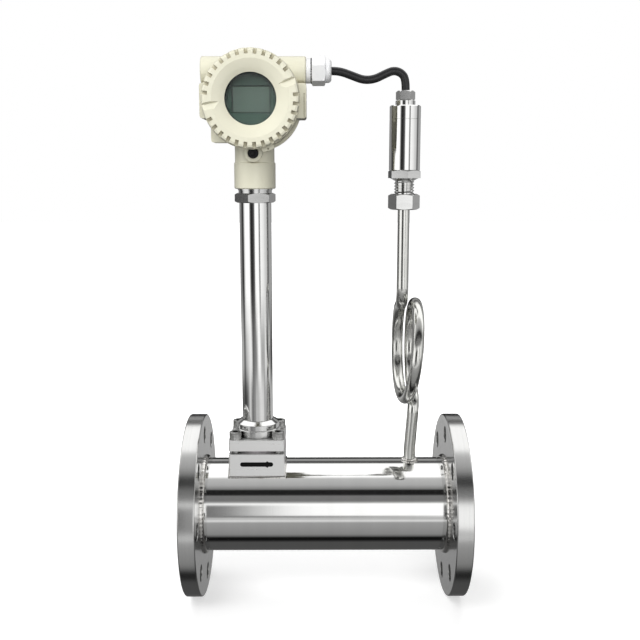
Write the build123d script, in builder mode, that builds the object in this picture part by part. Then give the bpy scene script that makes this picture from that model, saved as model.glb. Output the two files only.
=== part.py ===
from build123d import *
from math import cos, sin, pi, radians, sqrt, tan
import os

# Flanged vortex flow meter with a pressure line, in millimetres.
# The origin is the centre of the inlet sealing face, +X is the flow direction and +Z is up.

# Flow tube and flanges
meter_length = 306.0
bore_diameter = 80.0
tube_wall = 11.0
flange_diameter = 200.0
rim_thickness = 18.0
raised_height = 2.0
raised_diameter = 138.0
bolt_circle_diameter = 160.0
bolt_hole = 18.0
bolt_count = 8
socket_depth = 12.0
weld_leg = 4.0
bead_bulge = 1.6
seat_gap = 0.1
edge_break = 1.0

# Bluff body and probe
bluff_lead = 43.0
bluff_width = 22.4
bluff_tail = 8.0
bluff_length = 26.0
bluff_lip = 4.0
bluff_seat = 5.0
probe_diameter = 29.8
probe_flange = 36.0
probe_flange_height = 2.0
probe_boss = 20.0
probe_boss_height = 9.5
blade_width = 16.0
blade_thickness = 3.0
blade_reach = -6.0
blade_taper = 4.0
probe_reach = 3.0

# Sensor seat, clamp plate and screws
stem_x = 79.0
block_rise = 15.7
block_edge = 1.5
gasket_height = 3.7
gasket_outer = 44.0
gasket_inner = 26.0
plate_thickness = 12.0
plate_hole_play = 0.3
screw_inset = 7.0
screw_gap = 1.23
screw_diameter = 8.0
screw_head = 13.0
screw_head_height = 8.0
screw_key = 6.0
screw_key_depth = 4.0
screw_engagement = 10.0
screw_room = 1.0
clearance_hole = 9.0
arrow_length = 35.6
arrow_bar = 5.0
arrow_head = 7.8
arrow_drop = 11.0
arrow_depth = 1.2
arrow_setback = 6.5

# Stem
stem_diameter = 33.7
stem_wall = 2.9
stem_socket = 4.0
collar_foot_width = 7.95
collar_foot_height = 8.0
collar_ring_width = 6.55
collar_ring_height = 5.6
collar_cone_height = 3.6
adapter_drop = 103.0
adapter_hex_wall = 2.15
adapter_hex_height = 10.0
adapter_turn = 74.0
adapter_thread_wall = 1.4
adapter_relief_depth = 0.75
adapter_relief_height = 3.0
adapter_top_drop = 46.0
adapter_step = 0.95
lead_diameter = 6.0
lead_drop = 26.0

# Head: the drum lies along Y
head_z = 438.0
neck_gap = 4.5
neck_step_drop = 62.0
neck_wall = 3.45
neck_waist_depth = 1.0
neck_play = 0.08
drum_diameter = 91.0
drum_half = 41.0
cover_thread_depth = 3.5
cover_thread_gap = 1.0
chamber_wall = 4.0
partition_front = -8.0
partition_rear = -4.0
port_rise = 31.8
port_diameter = 29.4
port_reach = 54.0
port_thread = 20.0
pad_rise = 0.5
pad_height = 35.0
pad_depth = 40.0
pad_reach = 54.4
pad_corner = 2.5
pad_groove_inset = 1.6
pad_groove_width = 1.2
pad_groove_length = 25.0
pad_groove_depth = 1.0
lug_reach = 44.0
lug_width = 27.0
lug_drop = 41.0
lug_height = 28.0
lug_depth = 24.0
lock_angle = -71.2
lock_reach = 52.5
lock_height = 12.0
lock_width = 13.0
lock_depth = 5.0
lock_corner = 2.0
lock_hole = 2.0
lock_hole_inset = 1.8
lock_hole_depth = 3.0
neck_screw_drop = 52.0
neck_screw_boss = 18.0
neck_screw_face = 26.0
neck_screw_head = 10.5
neck_screw_shank = 6.0
neck_screw_head_height = 6.0
neck_screw_room = 0.5
neck_screw_sink = 4.0
neck_screw_key = 5.0
neck_screw_gap = 0.4
port_thread_end = 33.0
wire_hole = 10.0
lead_hole = 9.0

# Covers
cover_wall = 6.0
cover_length = 16.2
cover_face = 6.0
lip_step = 0.8
lip_width = 4.2
seal_thickness = 2.8
seal_inset = 1.6
thread_play = 0.1
notch_inset = 6.0
rim_width = 10.0
cover_rounding = 3.0
dish_depth = 2.5
window_diameter = 51.0
window_cone_depth = 6.0
window_cone_width = 5.5
glass_overlap = 3.3
glass_thickness = 4.0
glass_depth = 2.0
window_boss_wall = 3.2
notch_steps = 32
notch_start = -62.9
notch_width = 3.6
notch_depth = 5.0
notch_reach = 8.0
slot_width = 7.5
slot_depth = 2.6
slot_floor = 0.6
slot_slant = 1.5
window_gasket_thickness = 1.0
window_ring_thickness = 3.0
slot_steps = ((15.5, 1), (30.5, -1))
plain_steps = (15, 16, 30, 31)

# Display and boards
bezel_room = 3.0
bezel_gap = 4.0
bezel_thickness = 3.0
lcd_width = 36.4
lcd_height = 25.0
lcd_margin = 2.0
board_thickness = 1.6
display_board_depth = 6.0
board_spacing = 14.0
board_room = 4.0
post_inset = 5.0
post_count = 4
post_diameter = 5.0
terminal_width = 44.0
terminal_height = 18.0
terminal_depth = 12.0
terminal_drop = 8.0
terminal_pitch = 10.0
terminal_screw = 6.0
terminal_count = 4
earth_screw_x = 22.0
earth_screw_z = -22.0
earth_screw_head = 8.0
earth_screw_shank = 4.0
earth_hole = 3.0
board_chips = ((0.0, 4.0, 14.0, 14.0, 2.0), (-17.0, -8.0, 10.0, 6.0, 1.5), (16.0, -10.0, 8.0, 8.0, 5.0))

# Cable gland
gland_play = 0.45
gland_collar = 25.0
gland_collar_width = 5.0
gland_washer_width = 1.0
gland_hex = 26.6
gland_hex_width = 14.0
gland_dome = 24.0
gland_dome_width = 6.3
dome_rounding = 3.8
gland_thread_length = 14.0
gland_sleeve = 18.0
gland_turn = 45.0
plug_length = 12.0
plug_key = 10.0
gland_washer_diameter = 23.0
gland_seal_diameter = 15.0
gland_lip = 1.5
cable_room = 0.7
cable_diameter = 8.5

# Pressure line
tap_setback = 59.0
line_lead = 10.6
siphon_diameter = 12.7
siphon_wall = 1.65
siphon_top = 336.0
loop_z = 174.8
loop_radius = 51.5
loop_shift = 14.5
loop_start = 17.4
loop_corners = 11
elbow_radius = 20.0
tap_hole = 6.0
tap_socket = 6.0
tap_bend_height = 14.0
tap_bend = 60.0
loop_bend = 49.0
loop_shift_start = 130.0
loop_shift_span = 210.0
nipple_height = 4.4
nipple_lead = 2.0
nipple_wall = 2.65
tap_weld_leg = 4.5
union_drop = 8.4
union_height = 16.4
union_hex_wall = 4.2
union_turn = 117.0
union_seal_height = 2.0
base_thread_wall = 1.3
base_relief_depth = 0.8
base_thread_length = 22.5
base_hex = 31.0
base_hex_height = 8.0
base_cone = 3.0
base_undercut = 4.2
base_turn = 97.0
spigot_height = 5.5
cell_height = 7.0
cell_neck_height = 3.0
base_bore = 5.0
body_diameter = 32.4
body_wall = 2.2
body_length = 66.5
seam_drop = 14.0
seam_depth = 0.4
cap_plug_depth = 6.0
cap_play = 0.5
cap_neck = 20.6
cap_neck_height = 6.0
cap_groove_depth = 1.5
cap_groove_height = 1.0
cable_nut_hex = 17.4
cable_nut_height = 9.0
cable_nut_turn = 114.0
grommet_wall = 1.8

# Worked out from the values above
flange_thickness = rim_thickness + raised_height
bore_radius = bore_diameter / 2
tube_diameter = bore_diameter + 2 * tube_wall
tube_radius = tube_diameter / 2
tube_start = flange_thickness - socket_depth
bluff_front = stem_x - bluff_lead
block_top = tube_radius + block_rise
plate_hole = probe_boss + 2 * plate_hole_play
plate_bottom = block_top + gasket_height
plate_top = plate_bottom + plate_thickness
stem_radius = stem_diameter / 2
collar_foot_diameter = stem_diameter + 2 * collar_foot_width
collar_ring_diameter = stem_diameter + 2 * collar_ring_width
screw_pitch = (collar_foot_diameter / 2 + screw_gap + screw_head / 2) * sqrt(2)
block_width = screw_pitch + 2 * screw_inset
collar_foot_top = plate_top + collar_foot_height
collar_ring_top = collar_foot_top + collar_ring_height
collar_top = collar_ring_top + collar_cone_height
adapter_bottom = head_z - adapter_drop
adapter_top = head_z - adapter_top_drop
adapter_hex = stem_diameter + 2 * adapter_hex_wall
adapter_thread = stem_diameter + 2 * adapter_thread_wall
adapter_relief = adapter_thread - 2 * adapter_relief_depth
adapter_bore = stem_diameter - 2 * stem_wall - 2 * adapter_step
stem_top = adapter_bottom + stem_socket
lead_top = head_z - lead_drop
neck_bottom = adapter_bottom + adapter_hex_height + neck_gap
neck_step = head_z - neck_step_drop
neck_diameter = adapter_thread + 2 * neck_wall
neck_waist = neck_diameter - 2 * neck_waist_depth
neck_screw_z = head_z - neck_screw_drop
port_z = head_z + port_rise
lug_bottom = head_z - lug_drop
terminal_z = head_z - terminal_drop
cover_thread = drum_diameter - 2 * cover_thread_depth
chamber_diameter = cover_thread - 2 * chamber_wall
cover_diameter = cover_thread + 2 * cover_wall
lip_diameter = cover_diameter + 2 * lip_step
rim_radius = cover_diameter / 2 - notch_inset
dish_edge = cover_diameter / 2 - rim_width
dish_radius = window_diameter / 2 + window_cone_width
glass_diameter = window_diameter + 2 * glass_overlap
window_boss = glass_diameter + 2 * window_boss_wall
seal_radius = cover_thread / 2 + seal_inset
seal_centre = drum_half + seal_thickness / 2
cover_back = drum_half + seal_thickness
cover_lip_end = cover_back + lip_width
cover_front = cover_back + cover_length
cover_wall_depth = cover_front - cover_face
cover_thread_end = cover_wall_depth - cover_thread_gap
glass_front = cover_wall_depth - glass_depth
bezel_front = glass_front - glass_thickness - bezel_gap
display_board_front = bezel_front - display_board_depth
main_board_front = display_board_front - board_spacing
bezel_diameter = chamber_diameter - 2 * bezel_room
board_diameter = chamber_diameter - 2 * board_room
post_circle_diameter = board_diameter - 2 * post_inset
adapter_thread_start = adapter_bottom + adapter_hex_height + adapter_relief_height
port_end = stem_x + port_reach
gland_washer_start = port_end + gland_collar_width
gland_nut_start = gland_washer_start + gland_washer_width
gland_dome_start = gland_nut_start + gland_hex_width
gland_end = gland_dome_start + gland_dome_width
gland_bore = cable_diameter + 2 * gland_play
siphon_radius = siphon_diameter / 2
tap_x = meter_length - tap_setback
transmitter_x = tap_x - line_lead
union_bottom = siphon_top - union_drop
union_nipple_diameter = siphon_diameter + 2 * nipple_wall
base_thread = union_nipple_diameter + 2 * base_thread_wall
base_relief = base_thread - 2 * base_relief_depth
union_hex = base_thread + 2 * union_hex_wall
body_bore = body_diameter - 2 * body_wall

stem_section = Plane(origin=(stem_x, 0, 0), x_dir=(1, 0, 0), z_dir=(0, -1, 0))
line_section = Plane(origin=(transmitter_x, 0, 0), x_dir=(1, 0, 0), z_dir=(0, -1, 0))
head_section = Plane(origin=(stem_x, 0, head_z), x_dir=(1, 0, 0), z_dir=(0, 0, 1))
head_face = Plane(origin=(stem_x, 0, head_z), x_dir=(1, 0, 0), z_dir=(0, -1, 0))
port_section = Plane(origin=(0, 0, port_z), x_dir=(1, 0, 0), z_dir=(0, -1, 0))
stem_axis = Axis((stem_x, 0, 0), (0, 0, 1))
line_axis = Axis((transmitter_x, 0, 0), (0, 0, 1))
head_axis = Axis((stem_x, 0, head_z), (0, 1, 0))
port_axis = Axis((0, 0, port_z), (1, 0, 0))

os.makedirs("parts", exist_ok=True)


def stem_level(height):
    """Horizontal plane on the stem's axis."""
    return Plane(origin=(stem_x, 0, height))


def line_level(height):
    """Horizontal plane on the pressure line's axis."""
    return Plane(origin=(transmitter_x, 0, height))


def head_level(depth):
    """Upright plane across the drum, depth in front of the stem's axis."""
    return head_face.offset(depth)


def keep(piece, name):
    """Name a finished piece and write it."""
    piece.part.label = name
    export_step(piece.part, f"parts/{name}.step")


def outline(*points):
    """Closed straight outline as a face."""
    with BuildLine() as border:
        Polyline(*points, close=True)
    make_face(border.edges())


# Flow tube: bored, with pockets for the bluff body, the sensor bore and the tap hole
with BuildPart() as flow_tube:
    with BuildSketch(Plane.YZ.offset(tube_start)):
        Circle(tube_radius)
        Circle(bore_radius, mode=Mode.SUBTRACT)
    extrude(amount=meter_length - 2 * tube_start)
    pocket_half = bore_radius + bluff_seat + seat_gap
    with BuildSketch(Plane.XY.offset(-pocket_half)):
        outline(
            (bluff_front, -bluff_width / 2),
            (bluff_front + bluff_lip, -bluff_width / 2),
            (bluff_front + bluff_length, -bluff_tail / 2),
            (bluff_front + bluff_length, bluff_tail / 2),
            (bluff_front + bluff_lip, bluff_width / 2),
            (bluff_front, bluff_width / 2),
        )
        offset(amount=seat_gap)
    extrude(amount=2 * pocket_half, mode=Mode.SUBTRACT)
    with BuildSketch(stem_level(0)):
        Circle(probe_diameter / 2 + seat_gap)
    extrude(amount=tube_diameter, mode=Mode.SUBTRACT)
    with BuildSketch(Plane(origin=(tap_x, 0, 0))):
        Circle(tap_hole / 2)
    extrude(amount=tube_diameter, mode=Mode.SUBTRACT)
    with BuildSketch(Plane(origin=(tap_x, 0, tube_radius - tap_socket))):
        Circle(siphon_radius + seat_gap)
    extrude(amount=tube_diameter, mode=Mode.SUBTRACT)
keep(flow_tube, "flow_tube")

# Flanges: raised face, rim, eight holes on centre and a socket for the tube
with BuildPart() as inlet_flange:
    with BuildSketch(Plane.XZ):
        outline(
            (0, bore_radius),
            (0, raised_diameter / 2),
            (raised_height, raised_diameter / 2),
            (raised_height, flange_diameter / 2 - edge_break),
            (raised_height + edge_break, flange_diameter / 2),
            (flange_thickness - edge_break, flange_diameter / 2),
            (flange_thickness, flange_diameter / 2 - edge_break),
            (flange_thickness, tube_radius + seat_gap),
            (tube_start - seat_gap, tube_radius + seat_gap),
            (tube_start - seat_gap, bore_radius),
        )
    revolve(axis=Axis.X)
    with BuildSketch(Plane.YZ):
        with PolarLocations(bolt_circle_diameter / 2, bolt_count):
            Circle(bolt_hole / 2)
    extrude(amount=flange_thickness, mode=Mode.SUBTRACT)
keep(inlet_flange, "inlet_flange")

with BuildPart() as outlet_flange:
    mirror(inlet_flange.part, about=Plane.YZ.offset(meter_length / 2))
keep(outlet_flange, "outlet_flange")

# Fillet weld beads between the flanges and the tube
with BuildPart() as inlet_weld:
    with BuildSketch(Plane.XZ):
        with BuildLine():
            weld_foot = (flange_thickness + weld_leg, tube_radius)
            weld_root = (flange_thickness, tube_radius)
            weld_toe = (flange_thickness, tube_radius + weld_leg)
            Line(weld_toe, weld_root)
            Line(weld_root, weld_foot)
            RadiusArc(weld_foot, weld_toe, -bead_bulge * weld_leg)
        make_face()
    revolve(axis=Axis.X)
keep(inlet_weld, "inlet_weld")

with BuildPart() as outlet_weld:
    mirror(inlet_weld.part, about=Plane.YZ.offset(meter_length / 2))
keep(outlet_weld, "outlet_weld")

# Bluff body: trapezoid bar that stands across the bore
with BuildPart() as bluff_body:
    with BuildSketch(Plane.XY.offset(-bore_radius - bluff_seat)):
        outline(
            (bluff_front, -bluff_width / 2),
            (bluff_front + bluff_lip, -bluff_width / 2),
            (bluff_front + bluff_length, -bluff_tail / 2),
            (bluff_front + bluff_length, bluff_tail / 2),
            (bluff_front + bluff_lip, bluff_width / 2),
            (bluff_front, bluff_width / 2),
        )
    extrude(amount=bore_diameter + 2 * bluff_seat)
keep(bluff_body, "bluff_body")

# Probe: blade in the flow, round body in the tube wall and block, flange and boss
with BuildPart() as vortex_probe:
    with BuildSketch(stem_level(bore_radius - probe_reach)):
        Circle(probe_diameter / 2)
    extrude(amount=block_top - bore_radius + probe_reach)
    with BuildSketch(stem_level(block_top - probe_flange_height)):
        Circle(probe_flange / 2)
    extrude(amount=probe_flange_height)
    with BuildSketch(stem_level(block_top)):
        Circle(probe_boss / 2)
    extrude(amount=probe_boss_height)
    with BuildSketch(Plane.YZ.offset(stem_x)):
        outline(
            (-blade_thickness, bore_radius),
            (-blade_thickness / 2, blade_reach + blade_taper),
            (-blade_thickness / 4, blade_reach),
            (blade_thickness / 4, blade_reach),
            (blade_thickness / 2, blade_reach + blade_taper),
            (blade_thickness, bore_radius),
        )
    extrude(amount=blade_width / 2, both=True)
keep(vortex_probe, "vortex_probe")

# Sensor seat: square block saddled on the tube, with the flow arrow cut in its front
with BuildPart() as sensor_seat:
    with BuildSketch(stem_level(tube_radius / 2)):
        Rectangle(block_width, block_width)
    extrude(amount=block_top - tube_radius / 2)
    fillet(sensor_seat.edges().filter_by(Axis.Z), radius=block_edge)
    chamfer(sensor_seat.faces().sort_by(Axis.Z)[-1].edges(), length=block_edge / 3)
    with BuildSketch(Plane.YZ.offset(0)):
        Circle(tube_radius)
    extrude(amount=meter_length, mode=Mode.SUBTRACT)
    with BuildSketch(stem_level(0)):
        Circle(probe_diameter / 2 + seat_gap)
    extrude(amount=block_top, mode=Mode.SUBTRACT)
    with BuildSketch(stem_level(block_top - probe_flange_height)):
        Circle(probe_flange / 2 + seat_gap)
    extrude(amount=probe_flange_height, mode=Mode.SUBTRACT)
    with BuildSketch(stem_level(block_top - screw_engagement - screw_room)):
        with GridLocations(screw_pitch, screw_pitch, 2, 2):
            Circle(screw_diameter / 2 + seat_gap)
    extrude(amount=screw_engagement + screw_room, mode=Mode.SUBTRACT)
    with BuildSketch(Plane.XZ.offset(block_width / 2)):
        with Locations((stem_x, block_top - arrow_drop)):
            SlotOverall(arrow_length, arrow_bar)
        with Locations((stem_x + arrow_length / 2 - arrow_setback, block_top - arrow_drop)):
            Rectangle(arrow_head / sqrt(2), arrow_head / sqrt(2), rotation=45)
    extrude(amount=-arrow_depth, mode=Mode.SUBTRACT)
keep(sensor_seat, "sensor_seat")

with BuildPart() as seat_gasket:
    with BuildSketch(stem_level(block_top)):
        Circle(gasket_outer / 2)
        Circle(gasket_inner / 2, mode=Mode.SUBTRACT)
    extrude(amount=gasket_height)
keep(seat_gasket, "seat_gasket")

with BuildPart() as clamp_plate:
    with BuildSketch(stem_level(plate_bottom)):
        Rectangle(block_width, block_width)
    extrude(amount=plate_thickness)
    fillet(clamp_plate.edges().filter_by(Axis.Z), radius=block_edge)
    chamfer(clamp_plate.faces().sort_by(Axis.Z)[-1].edges(), length=block_edge / 3)
    with BuildSketch(stem_level(plate_bottom)):
        Circle(plate_hole / 2)
        with GridLocations(screw_pitch, screw_pitch, 2, 2):
            Circle(clearance_hole / 2)
    extrude(amount=plate_thickness, mode=Mode.SUBTRACT)
keep(clamp_plate, "clamp_plate")

# Four socket head cap screws
with BuildPart() as clamp_screws:
    shank_bottom = block_top - screw_engagement
    with BuildSketch(stem_level(shank_bottom)):
        with GridLocations(screw_pitch, screw_pitch, 2, 2):
            Circle(screw_diameter / 2)
    extrude(amount=plate_top - shank_bottom)
    with BuildSketch(stem_level(plate_top)):
        with GridLocations(screw_pitch, screw_pitch, 2, 2):
            Circle(screw_head / 2)
    extrude(amount=screw_head_height)
    chamfer(clamp_screws.faces().group_by(Axis.Z)[-1].edges(), length=edge_break)
    with BuildSketch(stem_level(plate_top + screw_head_height)):
        with GridLocations(screw_pitch, screw_pitch, 2, 2):
            RegularPolygon(screw_key / 2, 6, major_radius=False)
    extrude(amount=-screw_key_depth, mode=Mode.SUBTRACT)
keep(clamp_screws, "clamp_screws")

# Collar: foot, ring and cone in one turned piece round the stem
with BuildPart() as stem_collar:
    with BuildSketch(stem_section):
        outline(
            (stem_radius + seat_gap, plate_top),
            (collar_foot_diameter / 2, plate_top),
            (collar_foot_diameter / 2, collar_foot_top - edge_break / 2),
            (collar_foot_diameter / 2 - edge_break / 2, collar_foot_top),
            (collar_ring_diameter / 2, collar_foot_top),
            (collar_ring_diameter / 2, collar_ring_top),
            (stem_radius + edge_break, collar_top),
            (stem_radius + seat_gap, collar_top),
        )
    revolve(axis=stem_axis)
keep(stem_collar, "stem_collar")

with BuildPart() as stem_tube:
    with BuildSketch(stem_level(plate_top)):
        Circle(stem_radius)
        Circle(stem_radius - stem_wall, mode=Mode.SUBTRACT)
    extrude(amount=stem_top - plate_top)
keep(stem_tube, "stem_tube")

# Adapter: socket on the stem, hexagon, relief and the thread that the head turns on
with BuildPart() as stem_adapter:
    with BuildSketch(stem_level(adapter_bottom)):
        RegularPolygon(adapter_hex / 2, 6, major_radius=False, rotation=adapter_turn)
    extrude(amount=adapter_hex_height)
    with BuildSketch(stem_section):
        outline(
            (0, adapter_bottom),
            (adapter_hex / 2, adapter_bottom),
            (adapter_hex / 2 + 4 * edge_break, adapter_bottom + 2 * edge_break),
            (adapter_hex / 2 + 4 * edge_break, adapter_bottom + adapter_hex_height - 2 * edge_break),
            (adapter_hex / 2, adapter_bottom + adapter_hex_height),
            (0, adapter_bottom + adapter_hex_height),
        )
    revolve(axis=stem_axis, mode=Mode.INTERSECT)
    with BuildSketch(stem_level(adapter_bottom + adapter_hex_height)):
        Circle(adapter_relief / 2)
    extrude(amount=adapter_relief_height)
    with BuildSketch(stem_level(adapter_thread_start)):
        Circle(adapter_thread / 2)
    extrude(amount=adapter_top - adapter_thread_start)
    with BuildSketch(stem_level(adapter_bottom)):
        Circle(stem_radius + seat_gap)
    extrude(amount=stem_top - adapter_bottom, mode=Mode.SUBTRACT)
    with BuildSketch(stem_level(adapter_bottom)):
        Circle(adapter_bore / 2)
    extrude(amount=adapter_top - adapter_bottom, mode=Mode.SUBTRACT)
keep(stem_adapter, "stem_adapter")

with BuildPart() as probe_lead:
    with BuildSketch(stem_level(block_top + probe_boss_height)):
        Circle(lead_diameter / 2)
    extrude(amount=lead_top - block_top - probe_boss_height)
keep(probe_lead, "probe_lead")

# Siphon tube: one piece from the union down through the loop to the tap.
# The loop leaves on the rear side, comes round in front and passes itself once more.
loop_turn = 540.0 - 2 * loop_start
corner_turn = loop_turn / loop_corners
corner_radius = loop_radius / cos(radians(corner_turn / 2))
elbow_height = loop_radius / cos(radians(loop_start))


def loop_offset(angle):
    """How far the loop has moved along the pipe at an angle from its top."""
    share = min(max((angle - loop_shift_start) / loop_shift_span, 0.0), 1.0)
    return loop_shift * share * share * (3 - 2 * share)


siphon_points = [
    (transmitter_x, 0, siphon_top),
    (transmitter_x, 0, loop_z + elbow_height),
]
for corner in range(loop_corners):
    angle = loop_start + corner_turn * (corner + 0.5)
    siphon_points.append(
        (
            transmitter_x + loop_offset(angle),
            corner_radius * sin(radians(angle)),
            loop_z + corner_radius * cos(radians(angle)),
        )
    )
siphon_points += [
    (transmitter_x + loop_shift, 0, loop_z - elbow_height),
    (tap_x, 0, tube_radius + tap_bend_height),
    (tap_x, 0, tube_radius - tap_socket + seat_gap),
]
siphon_bends = [elbow_radius] + [loop_bend] * loop_corners + [elbow_radius, tap_bend]

with BuildPart() as siphon_tube:
    with BuildLine() as siphon_line:
        FilletPolyline(*siphon_points, radius=siphon_bends)
    with BuildSketch(line_level(siphon_top)):
        Circle(siphon_radius)
        Circle(siphon_radius - siphon_wall, mode=Mode.SUBTRACT)
    sweep(path=siphon_line.wires()[0])
keep(siphon_tube, "siphon_tube")

with BuildPart() as tap_weld:
    tap_section = Plane(origin=(tap_x, 0, 0), x_dir=(1, 0, 0), z_dir=(0, -1, 0))
    with BuildSketch(tap_section):
        with BuildLine():
            bead_top = (siphon_radius, tube_radius + tap_weld_leg)
            bead_edge = (siphon_radius + tap_weld_leg, tube_radius - edge_break)
            bead_root = (siphon_radius, tube_radius - tap_weld_leg)
            bead_low = (siphon_radius + tap_weld_leg, tube_radius - tap_weld_leg)
            Line(bead_top, bead_root)
            Line(bead_root, bead_low)
            Line(bead_low, bead_edge)
            RadiusArc(bead_edge, bead_top, bead_bulge * tap_weld_leg)
        make_face()
    revolve(axis=Axis((tap_x, 0, 0), (0, 0, 1)))
    with BuildSketch(Plane.YZ):
        Circle(tube_radius)
    extrude(amount=meter_length, mode=Mode.SUBTRACT)
keep(tap_weld, "tap_weld")

# Union: nipple on the tube, nut over it, sealing ring under the transmitter's thread
nipple_bottom = siphon_top - nipple_height
with BuildPart() as union_nipple:
    with BuildSketch(line_section):
        outline(
            (siphon_radius + seat_gap, nipple_bottom),
            (union_nipple_diameter / 2 - nipple_lead, nipple_bottom),
            (union_nipple_diameter / 2, nipple_bottom + nipple_lead),
            (union_nipple_diameter / 2, siphon_top),
            (siphon_radius + seat_gap, siphon_top),
        )
    revolve(axis=line_axis)
keep(union_nipple, "union_nipple")

with BuildPart() as union_nut:
    with BuildSketch(line_level(union_bottom)):
        RegularPolygon(union_hex / 2, 6, major_radius=False, rotation=union_turn)
    extrude(amount=union_height)
    with BuildSketch(line_section):
        outline(
            (0, union_bottom),
            (union_hex / 2 - edge_break, union_bottom),
            (union_hex / 2 + 3 * edge_break, union_bottom + 2 * edge_break),
            (union_hex / 2 + 3 * edge_break, union_bottom + union_height - 2 * edge_break),
            (union_hex / 2 - edge_break, union_bottom + union_height),
            (0, union_bottom + union_height),
        )
    revolve(axis=line_axis, mode=Mode.INTERSECT)
    with BuildSketch(line_section):
        outline(
            (0, union_bottom),
            (siphon_radius + seat_gap, union_bottom),
            (siphon_radius + seat_gap, nipple_bottom - seat_gap),
            (union_nipple_diameter / 2 - nipple_lead + seat_gap, nipple_bottom - seat_gap),
            (union_nipple_diameter / 2 + seat_gap, nipple_bottom + nipple_lead - seat_gap),
            (base_thread / 2 + seat_gap, nipple_bottom + nipple_lead + seat_gap),
            (base_thread / 2 + seat_gap, union_bottom + union_height),
            (0, union_bottom + union_height),
        )
    revolve(axis=line_axis, mode=Mode.SUBTRACT)
keep(union_nut, "union_nut")

base_bottom = siphon_top + union_seal_height
with BuildPart() as union_seal:
    with BuildSketch(line_level(siphon_top)):
        Circle(union_nipple_diameter / 2)
        Circle(siphon_radius - siphon_wall, mode=Mode.SUBTRACT)
    extrude(amount=union_seal_height)
keep(union_seal, "union_seal")

# Transmitter: threaded base with its hexagon, cell, sleeve and cap
base_hex_bottom = base_bottom + base_thread_length
base_hex_top = base_hex_bottom + base_hex_height
body_top = base_hex_top + body_length
body_seam = body_top - seam_drop
spigot_top = base_hex_top + spigot_height
with BuildPart() as transmitter_base:
    with BuildSketch(line_level(base_hex_bottom)):
        RegularPolygon(base_hex / 2, 6, major_radius=False, rotation=base_turn)
    extrude(amount=base_hex_height)
    with BuildSketch(line_section):
        outline(
            (0, base_hex_bottom),
            (base_hex / 2 + 3 * edge_break, base_hex_bottom),
            (base_hex / 2 + 3 * edge_break, base_hex_top - 1.5 * edge_break),
            (base_hex / 2, base_hex_top),
            (0, base_hex_top),
        )
    revolve(axis=line_axis, mode=Mode.INTERSECT)
    with BuildSketch(line_section):
        outline(
            (0, base_bottom),
            (base_thread / 2 - edge_break, base_bottom),
            (base_thread / 2, base_bottom + edge_break),
            (base_thread / 2, base_hex_bottom - base_cone - base_undercut - edge_break),
            (base_relief / 2, base_hex_bottom - base_cone - base_undercut),
            (base_relief / 2, base_hex_bottom - base_cone),
            (base_hex / 2 - edge_break / 2, base_hex_bottom),
            (base_hex / 2 - edge_break / 2, base_hex_bottom + edge_break),
            (0, base_hex_bottom + edge_break),
        )
    revolve(axis=line_axis)
    with BuildSketch(line_level(base_hex_top)):
        Circle(body_bore / 2 - seat_gap)
    extrude(amount=spigot_top - base_hex_top)
    with BuildSketch(line_level(base_bottom)):
        Circle(base_bore / 2)
    extrude(amount=spigot_top - base_bottom, mode=Mode.SUBTRACT)
keep(transmitter_base, "transmitter_base")

with BuildPart() as pressure_cell:
    with BuildSketch(line_level(spigot_top)):
        Circle(body_bore / 2 - 4 * seat_gap)
    extrude(amount=cell_height)
    with BuildSketch(line_level(spigot_top + cell_height)):
        Circle(body_bore / 4)
    extrude(amount=cell_neck_height)
keep(pressure_cell, "pressure_cell")

with BuildPart() as transmitter_body:
    with BuildSketch(line_section):
        outline(
            (body_bore / 2, base_hex_top),
            (body_diameter / 2 - edge_break / 2, base_hex_top),
            (body_diameter / 2, base_hex_top + edge_break / 2),
            (body_diameter / 2, body_seam - seam_depth),
            (body_diameter / 2 - seam_depth, body_seam),
            (body_diameter / 2, body_seam + seam_depth),
            (body_diameter / 2, body_top - edge_break),
            (body_diameter / 2 - edge_break, body_top),
            (body_bore / 2, body_top),
        )
    revolve(axis=line_axis)
keep(transmitter_body, "transmitter_body")

with BuildPart() as transmitter_cap:
    with BuildSketch(line_section):
        outline(
            (cable_diameter / 2 + cap_play, body_top - cap_plug_depth),
            (body_bore / 2 - seat_gap, body_top - cap_plug_depth),
            (body_bore / 2 - seat_gap, body_top),
            (cap_neck / 2, body_top),
            (cap_neck / 2, body_top + cap_neck_height - cap_groove_height),
            (cap_neck / 2 - cap_groove_depth, body_top + cap_neck_height - cap_groove_height),
            (cap_neck / 2 - cap_groove_depth, body_top + cap_neck_height),
            (cable_diameter / 2 + cap_play, body_top + cap_neck_height),
        )
    revolve(axis=line_axis)
keep(transmitter_cap, "transmitter_cap")

cable_nut_bottom = body_top + cap_neck_height
cable_nut_top = cable_nut_bottom + cable_nut_height
grommet_radius = cable_diameter / 2 + grommet_wall
with BuildPart() as cable_nut:
    with BuildSketch(line_level(cable_nut_bottom)):
        RegularPolygon(cable_nut_hex / 2, 6, major_radius=False, rotation=cable_nut_turn)
    extrude(amount=cable_nut_height)
    with BuildSketch(line_section):
        outline(
            (0, cable_nut_bottom),
            (cable_nut_hex / 2 + 2 * edge_break, cable_nut_bottom),
            (cable_nut_hex / 2 + 2 * edge_break, cable_nut_top - 2 * edge_break),
            (cable_nut_hex / 2 - edge_break / 2, cable_nut_top),
            (0, cable_nut_top),
        )
    revolve(axis=line_axis, mode=Mode.INTERSECT)
    with BuildSketch(line_level(cable_nut_bottom)):
        Circle(grommet_radius + seat_gap)
    extrude(amount=cable_nut_height, mode=Mode.SUBTRACT)
keep(cable_nut, "cable_nut")

with BuildPart() as cable_grommet:
    with BuildSketch(line_level(cable_nut_bottom)):
        Circle(grommet_radius)
    extrude(amount=cable_nut_height)
keep(cable_grommet, "cable_grommet")

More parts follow.
